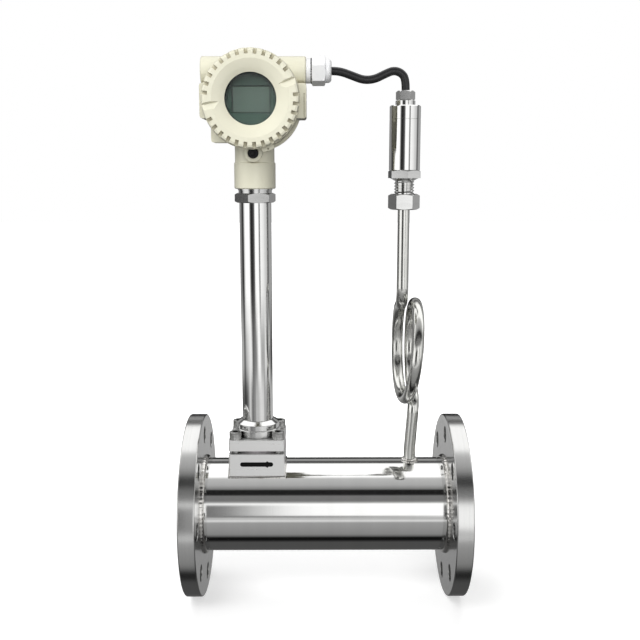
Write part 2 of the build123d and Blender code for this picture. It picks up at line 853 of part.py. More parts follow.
# Housing: drum with a chamber at each end, neck, ports, side pads, lug, screw boss and cover lock
with BuildPart() as housing:
    with BuildSketch(head_section):
        outline(
            (0, -cover_thread_end),
            (cover_thread / 2 - edge_break, -cover_thread_end),
            (cover_thread / 2, edge_break - cover_thread_end),
            (cover_thread / 2, -drum_half),
            (drum_diameter / 2 - edge_break, -drum_half),
            (drum_diameter / 2, edge_break - drum_half),
            (drum_diameter / 2, drum_half - edge_break),
            (drum_diameter / 2 - edge_break, drum_half),
            (cover_thread / 2, drum_half),
            (cover_thread / 2, cover_thread_end - edge_break),
            (cover_thread / 2 - edge_break, cover_thread_end),
            (0, cover_thread_end),
        )
    revolve(axis=head_axis)
    with BuildSketch(stem_section):
        outline(
            (0, neck_bottom),
            (neck_diameter / 2 - edge_break, neck_bottom),
            (neck_diameter / 2, neck_bottom + edge_break),
            (neck_diameter / 2, neck_step),
            (neck_waist / 2, neck_step + edge_break),
            (neck_waist / 2, head_z),
            (0, head_z),
        )
    revolve(axis=stem_axis)
    with BuildSketch(port_section):
        outline(
            (stem_x - port_reach, 0),
            (stem_x - port_reach, port_diameter / 2 - edge_break),
            (stem_x - port_reach + edge_break, port_diameter / 2),
            (stem_x + port_reach - edge_break, port_diameter / 2),
            (stem_x + port_reach, port_diameter / 2 - edge_break),
            (stem_x + port_reach, 0),
        )
    revolve(axis=port_axis)
    with BuildSketch(head_face):
        with Locations((0, pad_rise)):
            RectangleRounded(2 * pad_reach, pad_height, pad_corner)
    extrude(amount=pad_depth / 2, both=True)
    with BuildSketch(head_face):
        with Locations((-lug_reach, lug_bottom - head_z)):
            Rectangle(lug_width, lug_height, align=(Align.MIN, Align.MIN))
    extrude(amount=lug_depth / 2, both=True)
    lug_corner = housing.edges().filter_by(Axis.Y).sort_by_distance((stem_x - lug_reach, 0, lug_bottom))[0]
    fillet(lug_corner, radius=pad_corner)
    with BuildSketch(head_face):
        with Locations((0, neck_screw_z - head_z)):
            Circle(neck_screw_boss / 2)
    extrude(amount=neck_screw_face)
    with BuildSketch(head_level(drum_half)):
        with PolarLocations(lock_reach - lock_height / 2, 1, start_angle=lock_angle):
            RectangleRounded(lock_height, lock_width, lock_corner)
    extrude(amount=-lock_depth)
    with BuildSketch(head_level(drum_half)):
        with PolarLocations(lock_reach - lock_hole_inset, 1, start_angle=lock_angle):
            Circle(lock_hole / 2)
    extrude(amount=-lock_hole_depth, mode=Mode.SUBTRACT)
    with BuildSketch(head_level(pad_depth / 2)):
        with Locations((pad_reach - pad_groove_inset, pad_rise - pad_height / 2)):
            Rectangle(pad_groove_width, pad_groove_length, align=(Align.MAX, Align.MIN))
    extrude(amount=-pad_groove_depth, mode=Mode.SUBTRACT)
    with BuildSketch(head_level(-cover_thread_end)):
        Circle(chamber_diameter / 2)
    extrude(amount=cover_thread_end - partition_rear, mode=Mode.SUBTRACT)
    with BuildSketch(head_level(cover_thread_end)):
        Circle(chamber_diameter / 2)
    extrude(amount=-cover_thread_end - partition_front, mode=Mode.SUBTRACT)
    with BuildSketch(stem_level(neck_bottom)):
        Circle(adapter_thread / 2 + neck_play)
    extrude(amount=adapter_top + edge_break - neck_bottom, mode=Mode.SUBTRACT)
    with BuildSketch(stem_level(adapter_top)):
        Circle(lead_hole / 2)
    extrude(amount=head_z - adapter_top - chamber_diameter / 4, mode=Mode.SUBTRACT)
    with BuildSketch(port_section):
        outline(
            (stem_x - port_reach, 0),
            (stem_x - port_reach, port_thread / 2),
            (stem_x - port_thread_end, port_thread / 2),
            (stem_x - port_thread_end, wire_hole / 2),
            (stem_x - wire_hole, wire_hole / 2),
            (stem_x - wire_hole, 0),
        )
    revolve(axis=port_axis, mode=Mode.SUBTRACT)
    with BuildSketch(port_section):
        outline(
            (stem_x + port_reach, 0),
            (stem_x + port_reach, port_thread / 2),
            (stem_x + port_thread_end, port_thread / 2),
            (stem_x + port_thread_end, wire_hole / 2),
            (stem_x + wire_hole, wire_hole / 2),
            (stem_x + wire_hole, 0),
        )
    revolve(axis=port_axis, mode=Mode.SUBTRACT)
    with BuildSketch(head_level(neck_screw_face)):
        with Locations((0, neck_screw_z - head_z)):
            Circle(neck_screw_head / 2 + neck_screw_room)
    extrude(amount=-neck_screw_sink, mode=Mode.SUBTRACT)
    with BuildSketch(head_level(neck_screw_face)):
        with Locations((0, neck_screw_z - head_z)):
            Circle(neck_screw_shank / 2 + seat_gap)
    extrude(amount=adapter_bore / 2 - neck_screw_face, mode=Mode.SUBTRACT)
    with BuildSketch(Plane.XZ.offset(-partition_rear)):
        with Locations((stem_x + earth_screw_x, head_z + earth_screw_z)):
            Circle(earth_screw_shank / 2 + seat_gap)
    extrude(amount=earth_hole, mode=Mode.SUBTRACT)
keep(housing, "housing")

with BuildPart() as neck_screw:
    screw_seat = neck_screw_face - neck_screw_sink
    with BuildSketch(head_level(screw_seat)):
        with Locations((0, neck_screw_z - head_z)):
            Circle(neck_screw_head / 2)
    extrude(amount=neck_screw_head_height)
    chamfer(neck_screw.faces().sort_by(Axis.Y)[0].edges(), length=edge_break / 2)
    with BuildSketch(head_level(screw_seat)):
        with Locations((0, neck_screw_z - head_z)):
            Circle(neck_screw_shank / 2)
    extrude(amount=adapter_thread / 2 + neck_screw_gap - screw_seat)
    with BuildSketch(head_level(screw_seat + neck_screw_head_height)):
        with Locations((0, neck_screw_z - head_z)):
            RegularPolygon(neck_screw_key / 2, 6, major_radius=False)
    extrude(amount=-neck_screw_head_height / 2, mode=Mode.SUBTRACT)
keep(neck_screw, "neck_screw")

# Blind plug, flush in the port away from the cable
with BuildPart() as blind_plug:
    with BuildSketch(port_section):
        outline(
            (stem_x - port_reach, 0),
            (stem_x - port_reach, port_thread / 2 - edge_break),
            (stem_x - port_reach + edge_break, port_thread / 2 - seat_gap),
            (stem_x - port_reach + plug_length, port_thread / 2 - seat_gap),
            (stem_x - port_reach + plug_length, 0),
        )
    revolve(axis=port_axis)
    with BuildSketch(Plane.YZ.offset(stem_x - port_reach)):
        with Locations((0, port_z)):
            RegularPolygon(plug_key / 2, 6, major_radius=False)
    extrude(amount=plug_length / 2, mode=Mode.SUBTRACT)
keep(blind_plug, "blind_plug")

# Cable gland: body in the port, washer, hexagon nut with its dome, rubber seal
sleeve_end = gland_dome_start - edge_break
seal_face = gland_end - gland_lip
with BuildPart() as gland_body:
    with BuildSketch(port_section):
        outline(
            (port_end - gland_thread_length, gland_bore / 2),
            (port_end - gland_thread_length, port_thread / 2 - edge_break),
            (port_end - gland_thread_length + edge_break, port_thread / 2 - seat_gap),
            (port_end, port_thread / 2 - seat_gap),
            (port_end, gland_collar / 2),
            (gland_washer_start - edge_break / 2, gland_collar / 2),
            (gland_washer_start, gland_collar / 2 - edge_break / 2),
            (gland_washer_start, gland_sleeve / 2),
            (sleeve_end, gland_sleeve / 2),
            (sleeve_end, gland_bore / 2),
        )
    revolve(axis=port_axis)
keep(gland_body, "gland_body")

with BuildPart() as gland_washer:
    with BuildSketch(Plane.YZ.offset(gland_washer_start)):
        with Locations((0, port_z)):
            Circle(gland_washer_diameter / 2)
            Circle(gland_sleeve / 2 + seat_gap, mode=Mode.SUBTRACT)
    extrude(amount=gland_washer_width)
keep(gland_washer, "gland_washer")

with BuildPart() as gland_nut:
    with BuildSketch(Plane.YZ.offset(gland_nut_start)):
        with Locations((0, port_z)):
            RegularPolygon(gland_hex / 2, 6, major_radius=False, rotation=gland_turn)
    extrude(amount=gland_hex_width)
    with BuildSketch(port_section):
        outline(
            (gland_nut_start, 0),
            (gland_nut_start, gland_hex / 2),
            (gland_nut_start + edge_break, gland_hex / 2 + 2 * edge_break),
            (gland_dome_start - edge_break, gland_hex / 2 + 2 * edge_break),
            (gland_dome_start, gland_hex / 2),
            (gland_dome_start, 0),
        )
    revolve(axis=port_axis, mode=Mode.INTERSECT)
    with BuildSketch(port_section):
        with BuildLine():
            dome_foot = (gland_dome_start, gland_dome / 2)
            dome_side = (gland_end - dome_rounding, gland_dome / 2)
            dome_top = (gland_end, gland_dome / 2 - dome_rounding)
            Line((gland_dome_start, 0), dome_foot)
            Line(dome_foot, dome_side)
            RadiusArc(dome_side, dome_top, dome_rounding)
            Line(dome_top, (gland_end, 0))
            Line((gland_end, 0), (gland_dome_start, 0))
        make_face()
    revolve(axis=port_axis)
    with BuildSketch(port_section):
        outline(
            (gland_nut_start, 0),
            (gland_nut_start, gland_sleeve / 2 + seat_gap),
            (sleeve_end, gland_sleeve / 2 + seat_gap),
            (sleeve_end, gland_seal_diameter / 2 + seat_gap),
            (seal_face, gland_seal_diameter / 2 + seat_gap),
            (seal_face, cable_diameter / 2 + cable_room),
            (gland_end, cable_diameter / 2 + cable_room),
            (gland_end, 0),
        )
    revolve(axis=port_axis, mode=Mode.SUBTRACT)
keep(gland_nut, "gland_nut")

with BuildPart() as gland_seal:
    with BuildSketch(Plane.YZ.offset(sleeve_end)):
        with Locations((0, port_z)):
            Circle(gland_seal_diameter / 2)
    extrude(amount=seal_face - sleeve_end)
keep(gland_seal, "gland_seal")

# Signal cable: hangs in two soft curves from the gland to the transmitter's nut
# Each point is a share of the span between them and a height above the port's axis.
cable_route = [
    (0.0, 0.0),
    (0.0725, 0.0),
    (0.168, -1.2),
    (0.295, -4.8),
    (0.4415, -9.1),
    (0.588, -8.3),
    (0.7275, -2.9),
    (0.8333, 0.6),
    (0.935, -1.4),
    (1.0, -8.0),
]
cable_span = transmitter_x - seal_face
cable_points = [(seal_face + share * cable_span, 0, port_z + rise) for share, rise in cable_route]
cable_points.append((transmitter_x, 0, cable_nut_top))
cable_bends = []
for before, bend, after in zip(cable_points, cable_points[1:], cable_points[2:]):
    run_in = Vector(*bend) - Vector(*before)
    run_out = Vector(*after) - Vector(*bend)
    half_turn = radians(run_in.get_angle(run_out) / 2)
    cable_bends.append(0.45 * min(run_in.length, run_out.length) / tan(half_turn))
print("cable bend radii", [round(bend_radius, 1) for bend_radius in cable_bends])

with BuildPart() as signal_cable:
    with BuildLine() as cable_line:
        FilletPolyline(*cable_points, radius=cable_bends)
    with BuildSketch(Plane.YZ.offset(seal_face)):
        with Locations((0, port_z)):
            Circle(cable_diameter / 2)
    sweep(path=cable_line.wires()[0])
keep(signal_cable, "signal_cable")
cable_length = cable_line.wires()[0].length
print("cable length", round(cable_length, 1))
cable_section = pi * cable_diameter**2 / 4
print("cable volume share", round(signal_cable.part.volume / (cable_section * cable_length), 4))

# Display, boards and their posts in the front chamber
board_places = PolarLocations(post_circle_diameter / 2, post_count, start_angle=45)
with BuildPart() as display_bezel:
    with BuildSketch(head_level(bezel_front)):
        Circle(bezel_diameter / 2)
        Rectangle(lcd_width, lcd_height, mode=Mode.SUBTRACT)
    extrude(amount=-bezel_thickness)
    chamfer(display_bezel.faces().sort_by(Axis.Y)[0].outer_wire().edges(), length=edge_break / 2)
    with BuildSketch(head_level(bezel_front - bezel_thickness)):
        with board_places:
            Circle(post_diameter / 2)
    extrude(amount=display_board_front - bezel_front + bezel_thickness)
    with BuildSketch(head_level(bezel_front - bezel_thickness / 2)):
        Rectangle(lcd_width + 2 * lcd_margin + seat_gap, lcd_height + 2 * lcd_margin + seat_gap)
    extrude(amount=-bezel_thickness, mode=Mode.SUBTRACT)
keep(display_bezel, "display_bezel")

with BuildPart() as lcd_panel:
    with BuildSketch(head_level(display_board_front)):
        Rectangle(lcd_width + 2 * lcd_margin, lcd_height + 2 * lcd_margin)
    extrude(amount=bezel_front - bezel_thickness / 2 - display_board_front)
keep(lcd_panel, "lcd_panel")

with BuildPart() as display_board:
    with BuildSketch(head_level(display_board_front)):
        Circle(board_diameter / 2)
    extrude(amount=-board_thickness)
keep(display_board, "display_board")

with BuildPart() as main_board:
    with BuildSketch(head_level(main_board_front)):
        Circle(board_diameter / 2)
    extrude(amount=-board_thickness)
    for across, up, width, height, depth in board_chips:
        with BuildSketch(head_level(main_board_front)):
            with Locations((across, up)):
                Rectangle(width, height)
        extrude(amount=depth)
keep(main_board, "main_board")

with BuildPart() as board_posts:
    with BuildSketch(head_level(-partition_front)):
        with board_places:
            Circle(post_diameter / 2)
    extrude(amount=main_board_front - board_thickness + partition_front)
    with BuildSketch(head_level(main_board_front)):
        with board_places:
            Circle(post_diameter / 2)
    extrude(amount=display_board_front - board_thickness - main_board_front)
keep(board_posts, "board_posts")

# Terminals in the rear chamber
terminal_places = GridLocations(terminal_pitch, 0, terminal_count, 1)
with BuildPart() as terminal_block:
    with BuildSketch(head_level(-partition_rear)):
        with Locations((0, terminal_z - head_z)):
            Rectangle(terminal_width, terminal_height)
    extrude(amount=-terminal_depth)
    with BuildSketch(head_level(-partition_rear - terminal_depth)):
        with Locations((0, terminal_z - head_z)):
            with terminal_places:
                Circle(terminal_screw / 2 + seat_gap)
    extrude(amount=terminal_depth / 2, mode=Mode.SUBTRACT)
keep(terminal_block, "terminal_block")

with BuildPart() as terminal_screws:
    with BuildSketch(head_level(-partition_rear - terminal_depth / 2)):
        with Locations((0, terminal_z - head_z)):
            with terminal_places:
                Circle(terminal_screw / 2)
    extrude(amount=-terminal_depth / 3)
    with BuildSketch(head_level(-partition_rear - 5 * terminal_depth / 6)):
        with Locations((0, terminal_z - head_z)):
            with terminal_places:
                Rectangle(terminal_screw, edge_break)
    extrude(amount=edge_break, mode=Mode.SUBTRACT)
keep(terminal_screws, "terminal_screws")

with BuildPart() as earth_screw:
    with BuildSketch(head_level(-partition_rear)):
        with Locations((earth_screw_x, earth_screw_z)):
            Circle(earth_screw_head / 2)
    extrude(amount=-earth_screw_shank / 2)
    with BuildSketch(head_level(-partition_rear)):
        with Locations((earth_screw_x, earth_screw_z)):
            Circle(earth_screw_shank / 2)
    extrude(amount=earth_hole - seat_gap)
    with BuildSketch(head_level(-partition_rear - earth_screw_shank / 2)):
        with Locations((earth_screw_x, earth_screw_z)):
            Rectangle(earth_screw_head, edge_break)
            Rectangle(edge_break, earth_screw_head)
    extrude(amount=edge_break, mode=Mode.SUBTRACT)
keep(earth_screw, "earth_screw")

# Grip notches and tool slots that both covers share
def step_angle(step):
    """Angle of a grip step in the head's face, from +X."""
    return notch_start - 90 + step * 360.0 / notch_steps


def slot_plane(step, face, inward):
    """Plane across a tool slot where it leaves the dish, its X axis into the cover."""
    angle = radians(step_angle(step))
    outward = Vector(cos(angle), 0, sin(angle))
    origin = Vector(stem_x, face, head_z) + outward * dish_radius
    return Plane(origin=origin, x_dir=(0, inward, 0), z_dir=outward)


def slot_outline(side):
    """Section of a tool slot: steep wall on one side, floor that rises to the other."""
    half = side * slot_width / 2
    outline(
        (-edge_break, half),
        (0, half),
        (slot_depth, half - side * slot_slant),
        (slot_floor, -half),
        (-edge_break, -half),
    )


slot_run = cover_diameter / 2 + edge_break - dish_radius
with BuildSketch() as grip_notches:
    for step in range(notch_steps):
        if step not in plain_steps:
            with PolarLocations(rim_radius + notch_reach / 2, 1, start_angle=step_angle(step)):
                Rectangle(notch_reach, notch_width)

# Front cover: grip band, lip, dished face and the boss that holds the window
glass_seat = glass_front + window_gasket_thickness
ring_back = glass_front - glass_thickness - window_ring_thickness
with BuildPart() as front_cover:
    with BuildSketch(head_section):
        outline(
            (cover_thread / 2 + thread_play, -cover_back),
            (lip_diameter / 2 - edge_break / 2, -cover_back),
            (lip_diameter / 2, -cover_back - edge_break / 2),
            (lip_diameter / 2, -cover_lip_end),
            (cover_diameter / 2, -cover_lip_end),
            (cover_diameter / 2, cover_rounding - cover_front),
            (cover_diameter / 2 - 0.3 * cover_rounding, 0.3 * cover_rounding - cover_front),
            (cover_diameter / 2 - cover_rounding, -cover_front),
            (dish_edge, -cover_front),
            (dish_radius, dish_depth - cover_front),
            (window_diameter / 2, window_cone_depth - cover_front),
            (window_diameter / 2, -glass_seat),
            (glass_diameter / 2 + seat_gap, -glass_seat),
            (glass_diameter / 2 + seat_gap, -ring_back),
            (window_boss / 2, -ring_back),
            (window_boss / 2, -cover_wall_depth),
            (cover_thread / 2 + thread_play, -cover_wall_depth),
        )
    revolve(axis=head_axis)
    with BuildSketch(head_level(cover_front)):
        add(grip_notches.sketch)
    extrude(amount=-notch_depth, mode=Mode.SUBTRACT)
    for step, side in slot_steps:
        with BuildSketch(slot_plane(step, -cover_front, 1)):
            slot_outline(side)
        extrude(amount=slot_run, mode=Mode.SUBTRACT)
keep(front_cover, "front_cover")

with BuildPart() as window_gasket:
    with BuildSketch(head_level(glass_front)):
        Circle(glass_diameter / 2)
        Circle(window_diameter / 2, mode=Mode.SUBTRACT)
    extrude(amount=window_gasket_thickness)
keep(window_gasket, "window_gasket")

with BuildPart() as window_glass:
    with BuildSketch(head_level(glass_front)):
        Circle(glass_diameter / 2)
    extrude(amount=-glass_thickness)
keep(window_glass, "window_glass")

with BuildPart() as window_ring:
    with BuildSketch(head_level(glass_front - glass_thickness)):
        Circle(glass_diameter / 2)
        Circle(window_diameter / 2, mode=Mode.SUBTRACT)
    extrude(amount=-window_ring_thickness)
keep(window_ring, "window_ring")

with BuildPart() as front_seal:
    with BuildSketch(head_section):
        with Locations((seal_radius, -seal_centre)):
            Circle(seal_thickness / 2)
    revolve(axis=head_axis)
keep(front_seal, "front_seal")

# Rear cover: same band, closed face
with BuildPart() as rear_cover:
    with BuildSketch(head_section):
        outline(
            (cover_thread / 2 + thread_play, cover_back),
            (lip_diameter / 2 - edge_break / 2, cover_back),
            (lip_diameter / 2, cover_back + edge_break / 2),
            (lip_diameter / 2, cover_lip_end),
            (cover_diameter / 2, cover_lip_end),
            (cover_diameter / 2, cover_front - cover_rounding),
            (cover_diameter / 2 - 0.3 * cover_rounding, cover_front - 0.3 * cover_rounding),
            (cover_diameter / 2 - cover_rounding, cover_front),
            (dish_edge, cover_front),
            (dish_radius, cover_front - dish_depth),
            (0, cover_front - dish_depth),
            (0, cover_wall_depth),
            (cover_thread / 2 + thread_play, cover_wall_depth),
        )
    revolve(axis=head_axis)
    with BuildSketch(head_level(-cover_front)):
        add(grip_notches.sketch)
    extrude(amount=notch_depth, mode=Mode.SUBTRACT)
    for step, side in slot_steps:
        with BuildSketch(slot_plane(step, cover_front, -1)):
            slot_outline(-side)
        extrude(amount=slot_run, mode=Mode.SUBTRACT)
keep(rear_cover, "rear_cover")

with BuildPart() as rear_seal:
    with BuildSketch(head_section):
        with Locations((seal_radius, seal_centre)):
            Circle(seal_thickness / 2)
    revolve(axis=head_axis)
keep(rear_seal, "rear_seal")
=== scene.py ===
import bpy
from math import atan2, cos, degrees, hypot, pi, radians, sin, sqrt, tau
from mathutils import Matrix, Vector


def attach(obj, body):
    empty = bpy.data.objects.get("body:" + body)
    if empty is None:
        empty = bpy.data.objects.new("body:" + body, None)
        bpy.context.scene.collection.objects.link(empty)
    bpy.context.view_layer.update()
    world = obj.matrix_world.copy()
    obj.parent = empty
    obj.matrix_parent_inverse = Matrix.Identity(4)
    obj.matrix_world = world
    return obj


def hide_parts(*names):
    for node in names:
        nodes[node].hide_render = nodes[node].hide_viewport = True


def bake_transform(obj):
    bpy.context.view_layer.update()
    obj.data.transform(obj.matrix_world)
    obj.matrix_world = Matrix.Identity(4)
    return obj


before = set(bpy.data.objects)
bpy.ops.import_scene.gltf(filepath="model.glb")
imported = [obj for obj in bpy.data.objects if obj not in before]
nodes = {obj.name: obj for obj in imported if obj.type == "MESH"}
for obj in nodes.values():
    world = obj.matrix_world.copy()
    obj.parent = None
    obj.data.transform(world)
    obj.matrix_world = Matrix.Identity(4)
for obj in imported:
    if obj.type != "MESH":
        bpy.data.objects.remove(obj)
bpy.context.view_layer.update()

mm = 0.001
pipeCentre = (0, 0, 0)
pipeRadius = 51.0 * mm
stemCentre = (79 * mm, 0, 0)
lineCentre = (236.4 * mm, 0, 0)  # of the siphon, the union and the transmitter
headCentre = (79 * mm, 0, 438 * mm)
portHeight = 469.8 * mm
alongX, alongZ = (1, 0, 0), (0, 0, 1)
near, tiny = 0.1 * mm, 0.001 * mm  # what is closer than this lies at the same place
squareOn = 0.9  # a face looks along an axis if its normal has more than this along it

print("stage: camera")
cameraSettings = {
    "place": (0.1421, -0.940, 0.3694),
    "pitchDown": 9.7,
    "yawRight": 0.33,
    "lens": 49.5,
    "sensor": 36.0,
}


def makeCamera(settings):
    cameraData = bpy.data.cameras.new("camera")
    cameraData.lens = settings["lens"]
    cameraData.sensor_width = settings["sensor"]
    camera = bpy.data.objects.new("camera", cameraData)
    camera.location = settings["place"]
    camera.rotation_euler = (
        radians(90 - settings["pitchDown"]),
        0,
        radians(-settings["yawRight"]),
    )
    bpy.context.collection.objects.link(camera)
    bpy.context.scene.camera = camera


makeCamera(cameraSettings)
bpy.context.scene.view_settings.view_transform = "Standard"


# small helpers for picking, shaping and finishing a piece
def deselectAll():
    if bpy.context.object and bpy.context.object.mode != "OBJECT":
        bpy.ops.object.mode_set(mode="OBJECT")
    bpy.ops.object.select_all(action="DESELECT")


def pickOnly(piece):
    deselectAll()
    piece.select_set(True)
    bpy.context.view_layer.objects.active = piece


def chooseFaces(piece, rule):
    pickOnly(piece)
    bpy.ops.object.mode_set(mode="EDIT")
    bpy.ops.mesh.select_mode(type="FACE")
    bpy.ops.mesh.select_all(action="DESELECT")
    bpy.ops.object.mode_set(mode="OBJECT")
    for face in piece.data.polygons:
        face.select = rule(face.center, face.normal)
    bpy.ops.object.mode_set(mode="EDIT")


def moveVertices(piece, rule):
    for vertex in piece.data.vertices:
        vertex.co = rule(vertex.co)


def useModifier(piece, kind, **settings):
    pickOnly(piece)
    modifier = piece.modifiers.new(kind.lower(), kind)
    for name, value in settings.items():
        setattr(modifier, name, value)
    bpy.ops.object.modifier_apply(modifier=modifier.name)


def finishPiece(piece, name, material, body, smoothAngle=35):
    pickOnly(piece)
    bpy.ops.object.transform_apply(location=True, rotation=True, scale=True)
    bpy.ops.object.mode_set(mode="EDIT")
    bpy.ops.mesh.select_all(action="SELECT")
    bpy.ops.mesh.normals_make_consistent(inside=False)
    bpy.ops.object.mode_set(mode="OBJECT")
    bpy.ops.object.shade_smooth_by_angle(angle=radians(smoothAngle))
    piece.name = name
    piece.data.name = name
    piece.data.materials.clear()
    piece.data.materials.append(material)
    if body:
        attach(piece, body)


# small helpers for materials
def setInputs(tree, node, inputs):
    for socket, value in inputs.items():
        if isinstance(value, bpy.types.NodeSocket):
            tree.links.new(value, node.inputs[socket])
        else:
            node.inputs[socket].default_value = value


def addNode(tree, kind, inputs=None, **settings):
    node = tree.nodes.new("ShaderNode" + kind)
    for name, value in settings.items():
        setattr(node, name, value)
    setInputs(tree, node, inputs or {})
    return node


def calc(tree, operation, *values):
    inputs = dict(enumerate(values))
    return addNode(tree, "Math", inputs, operation=operation).outputs[0]


def calcVector(tree, operation, *values):
    inputs = dict(enumerate(values))
    node = addNode(tree, "VectorMath", inputs, operation=operation)
    single = operation in ("DOT_PRODUCT", "LENGTH")
    return node.outputs["Value" if single else "Vector"]


def smoothStep(tree, value, low, high, atLow=0.0, atHigh=1.0):
    inputs = {"Value": value, "From Min": low, "From Max": high, "To Min": atLow, "To Max": atHigh}
    node = addNode(tree, "MapRange", inputs, interpolation_type="SMOOTHSTEP")
    return node.outputs["Result"]


def blendColours(tree, share, first, second):
    inputs = {"Factor": share, 6: first, 7: second}  # 6 and 7 are the colours A and B
    return addNode(tree, "Mix", inputs, data_type="RGBA").outputs[2]


def grain(tree, place, scale, detail=2.0):
    inputs = {"Vector": place, "Scale": scale, "Detail": detail}
    return addNode(tree, "TexNoise", inputs).outputs["Fac"]


def lineGrain(tree, place, scale):
    inputs = {"W": calc(tree, "MULTIPLY", place, scale), "Scale": 1.0}
    return addNode(tree, "TexNoise", inputs, noise_dimensions="1D").outputs["Fac"]


def vary(tree, middle, first, *others):
    # each grain moves the value to both sides of its middle, by the amount beside it
    value, amount = first
    total = calc(tree, "MULTIPLY_ADD", value, amount, middle - amount / 2)
    for other in others:
        total = calc(tree, "ADD", total, vary(tree, 0.0, other))
    return total


def startMaterial(name, sockets):
    material = bpy.data.materials.new(name)
    material.use_nodes = True
    tree = material.node_tree
    shader = tree.nodes["Principled BSDF"]
    setInputs(tree, shader, sockets)
    place = addNode(tree, "TexCoord").outputs["Object"]
    return material, tree, shader, place


def setSurface(tree, shader, colour, roughness, height, depth):
    bump = addNode(tree, "Bump", {"Strength": 1.0, "Distance": depth, "Height": height})
    inputs = {"Base Color": colour, "Roughness": roughness, "Normal": bump.outputs["Normal"]}
    setInputs(tree, shader, inputs)


cornerShadeSettings = {
    "samples": 6,
    "closed": 0.30,  # a corner as closed as this has all the painted shade
    "open": 0.85,
    "most": 0.75,
}


def addCornerShade(tree, colour, settings):
    # painted shade: the colour darkens in the notches and inner corners, where little light
    # reaches
    corners = addNode(
        tree,
        "AmbientOcclusion",
        {"Distance": settings["reach"]},
        samples=cornerShadeSettings["samples"],
    )
    share = smoothStep(
        tree,
        corners.outputs["AO"],
        cornerShadeSettings["closed"],
        cornerShadeSettings["open"],
        cornerShadeSettings["most"],
        0.0,
    )
    return blendColours(tree, share, colour, settings["cornerShade"])


print("stage: materials")
turning = {
    "lines": 2600.0,  # fine tool marks to a metre
    "bands": 260.0,
    "linesDepth": 0.003 * mm,
    "cloudScale": 38.0,
    "smudgeScale": 9.0,
    "bandShare": 0.9,  # how far bands and clouds move the colour
    "cloudShare": 0.5,
    "lineGloss": 0.5,  # how far lines and smudges move the roughness
    "smudgeGloss": 0.5,
}
turnedSettings = {
    **turning,
    "light": (0.82, 0.82, 0.81, 1),
    "dark": (0.73, 0.73, 0.72, 1),
    "roughness": 0.14,
}
facedSettings = {
    **turning,
    "light": (0.78, 0.78, 0.77, 1),
    "dark": (0.66, 0.66, 0.65, 1),
    "roughness": 0.20,
    "lines": 1800.0,
    "bands": 190.0,
    "linesDepth": 0.005 * mm,
}
hexSettings = {
    **turning,
    "light": (0.64, 0.64, 0.63, 1),
    "dark": (0.54, 0.54, 0.53, 1),
    "roughness": 0.18,
}
collarSettings = {
    **turning,
    "light": (0.84, 0.84, 0.83, 1),
    "dark": (0.74, 0.74, 0.73, 1),
    "roughness": 0.10,
    "cornerShade": (0.03, 0.03, 0.03, 1),
    "reach": 7.0 * mm,
}
drawnSettings = {
    **turning,
    "light": (0.80, 0.80, 0.77, 1),
    "dark": (0.70, 0.70, 0.67, 1),
    "roughness": 0.16,
    "lines": 900.0,
    "bands": 60.0,
    "linesDepth": 0.002 * mm,
}
polishedSettings = {
    **turning,
    "light": (0.86, 0.86, 0.85, 1),
    "dark": (0.80, 0.80, 0.79, 1),
    "roughness": 0.075,
    "lines": 900.0,
    "bands": 60.0,
}


def turnedFinish(name, settings, centre, axis):
    # tool marks lie round the axis, on a piece's ends as well as on its sides
    material, tree, shader, place = startMaterial(name, {"Metallic": 1.0})
    offset = calcVector(tree, "SUBTRACT", place, centre)
    along = calcVector(tree, "DOT_PRODUCT", offset, axis)
    onAxis = calcVector(tree, "MULTIPLY", offset, axis)
    outward = calcVector(tree, "LENGTH", calcVector(tree, "SUBTRACT", offset, onAxis))
    across = calc(tree, "ADD", along, outward)
    lines = lineGrain(tree, across, settings["lines"])
    bands = lineGrain(tree, across, settings["bands"])
    clouds = grain(tree, place, settings["cloudScale"], detail=3.0)
    smudges = grain(tree, place, settings["smudgeScale"])
    share = vary(tree, 0.5, (bands, settings["bandShare"]), (clouds, settings["cloudShare"]))
    colour = blendColours(tree, share, settings["dark"], settings["light"])
    # painted shade darkens the corners
    if "cornerShade" in settings:
        colour = addCornerShade(tree, colour, settings)
    base = settings["roughness"]
    roughness = vary(
        tree,
        base,
        (lines, base * settings["lineGloss"]),
        (smudges, base * settings["smudgeGloss"]),
    )
    setSurface(tree, shader, colour, roughness, lines, settings["linesDepth"])
    return material


groundSettings = {
    "light": (0.92, 0.92, 0.91, 1),
    "dark": (0.86, 0.86, 0.85, 1),
    "roughness": 0.30,
    "metallic": 0.75,
    "stretch": (14.0, 14.0, 700.0),  # the grinding lines are long in X and Y
    "linesDepth": 0.002 * mm,
    "cloudScale": 60.0,
    "lineShare": 1.0,
    "cloudShare": 0.6,
    "lineGloss": 0.4,
    "cloudGloss": 0.3,
    "cornerShade": (0.03, 0.03, 0.03, 1),
    "reach": 4.0 * mm,
}


def groundFinish(name, settings):
    material, tree, shader, place = startMaterial(name, {"Metallic": settings["metallic"]})
    stretched = calcVector(tree, "MULTIPLY", place, settings["stretch"])
    lines = grain(tree, stretched, 1.0, detail=3.0)
    clouds = grain(tree, place, settings["cloudScale"], detail=3.0)
    share = vary(tree, 0.5, (lines, settings["lineShare"]), (clouds, settings["cloudShare"]))
    colour = blendColours(tree, share, settings["dark"], settings["light"])
    # painted shade darkens the corners
    colour = addCornerShade(tree, colour, settings)
    base = settings["roughness"]
    roughness = vary(
        tree,
        base,
        (lines, base * settings["lineGloss"]),
        (clouds, base * settings["cloudGloss"]),
    )
    setSurface(tree, shader, colour, roughness, lines, settings["linesDepth"])
    return material


beadSettings = {
    "light": (0.86, 0.85, 0.83, 1),
    "dark": (0.56, 0.54, 0.50, 1),
    "roughness": 0.12,
    "stainScale": 140.0,
    "stainMiddle": 0.6,
    "stainShare": 1.6,
    "stainGloss": 0.9,
    "poreScale": 900.0,
    "poreDepth": 0.03 * mm,
}


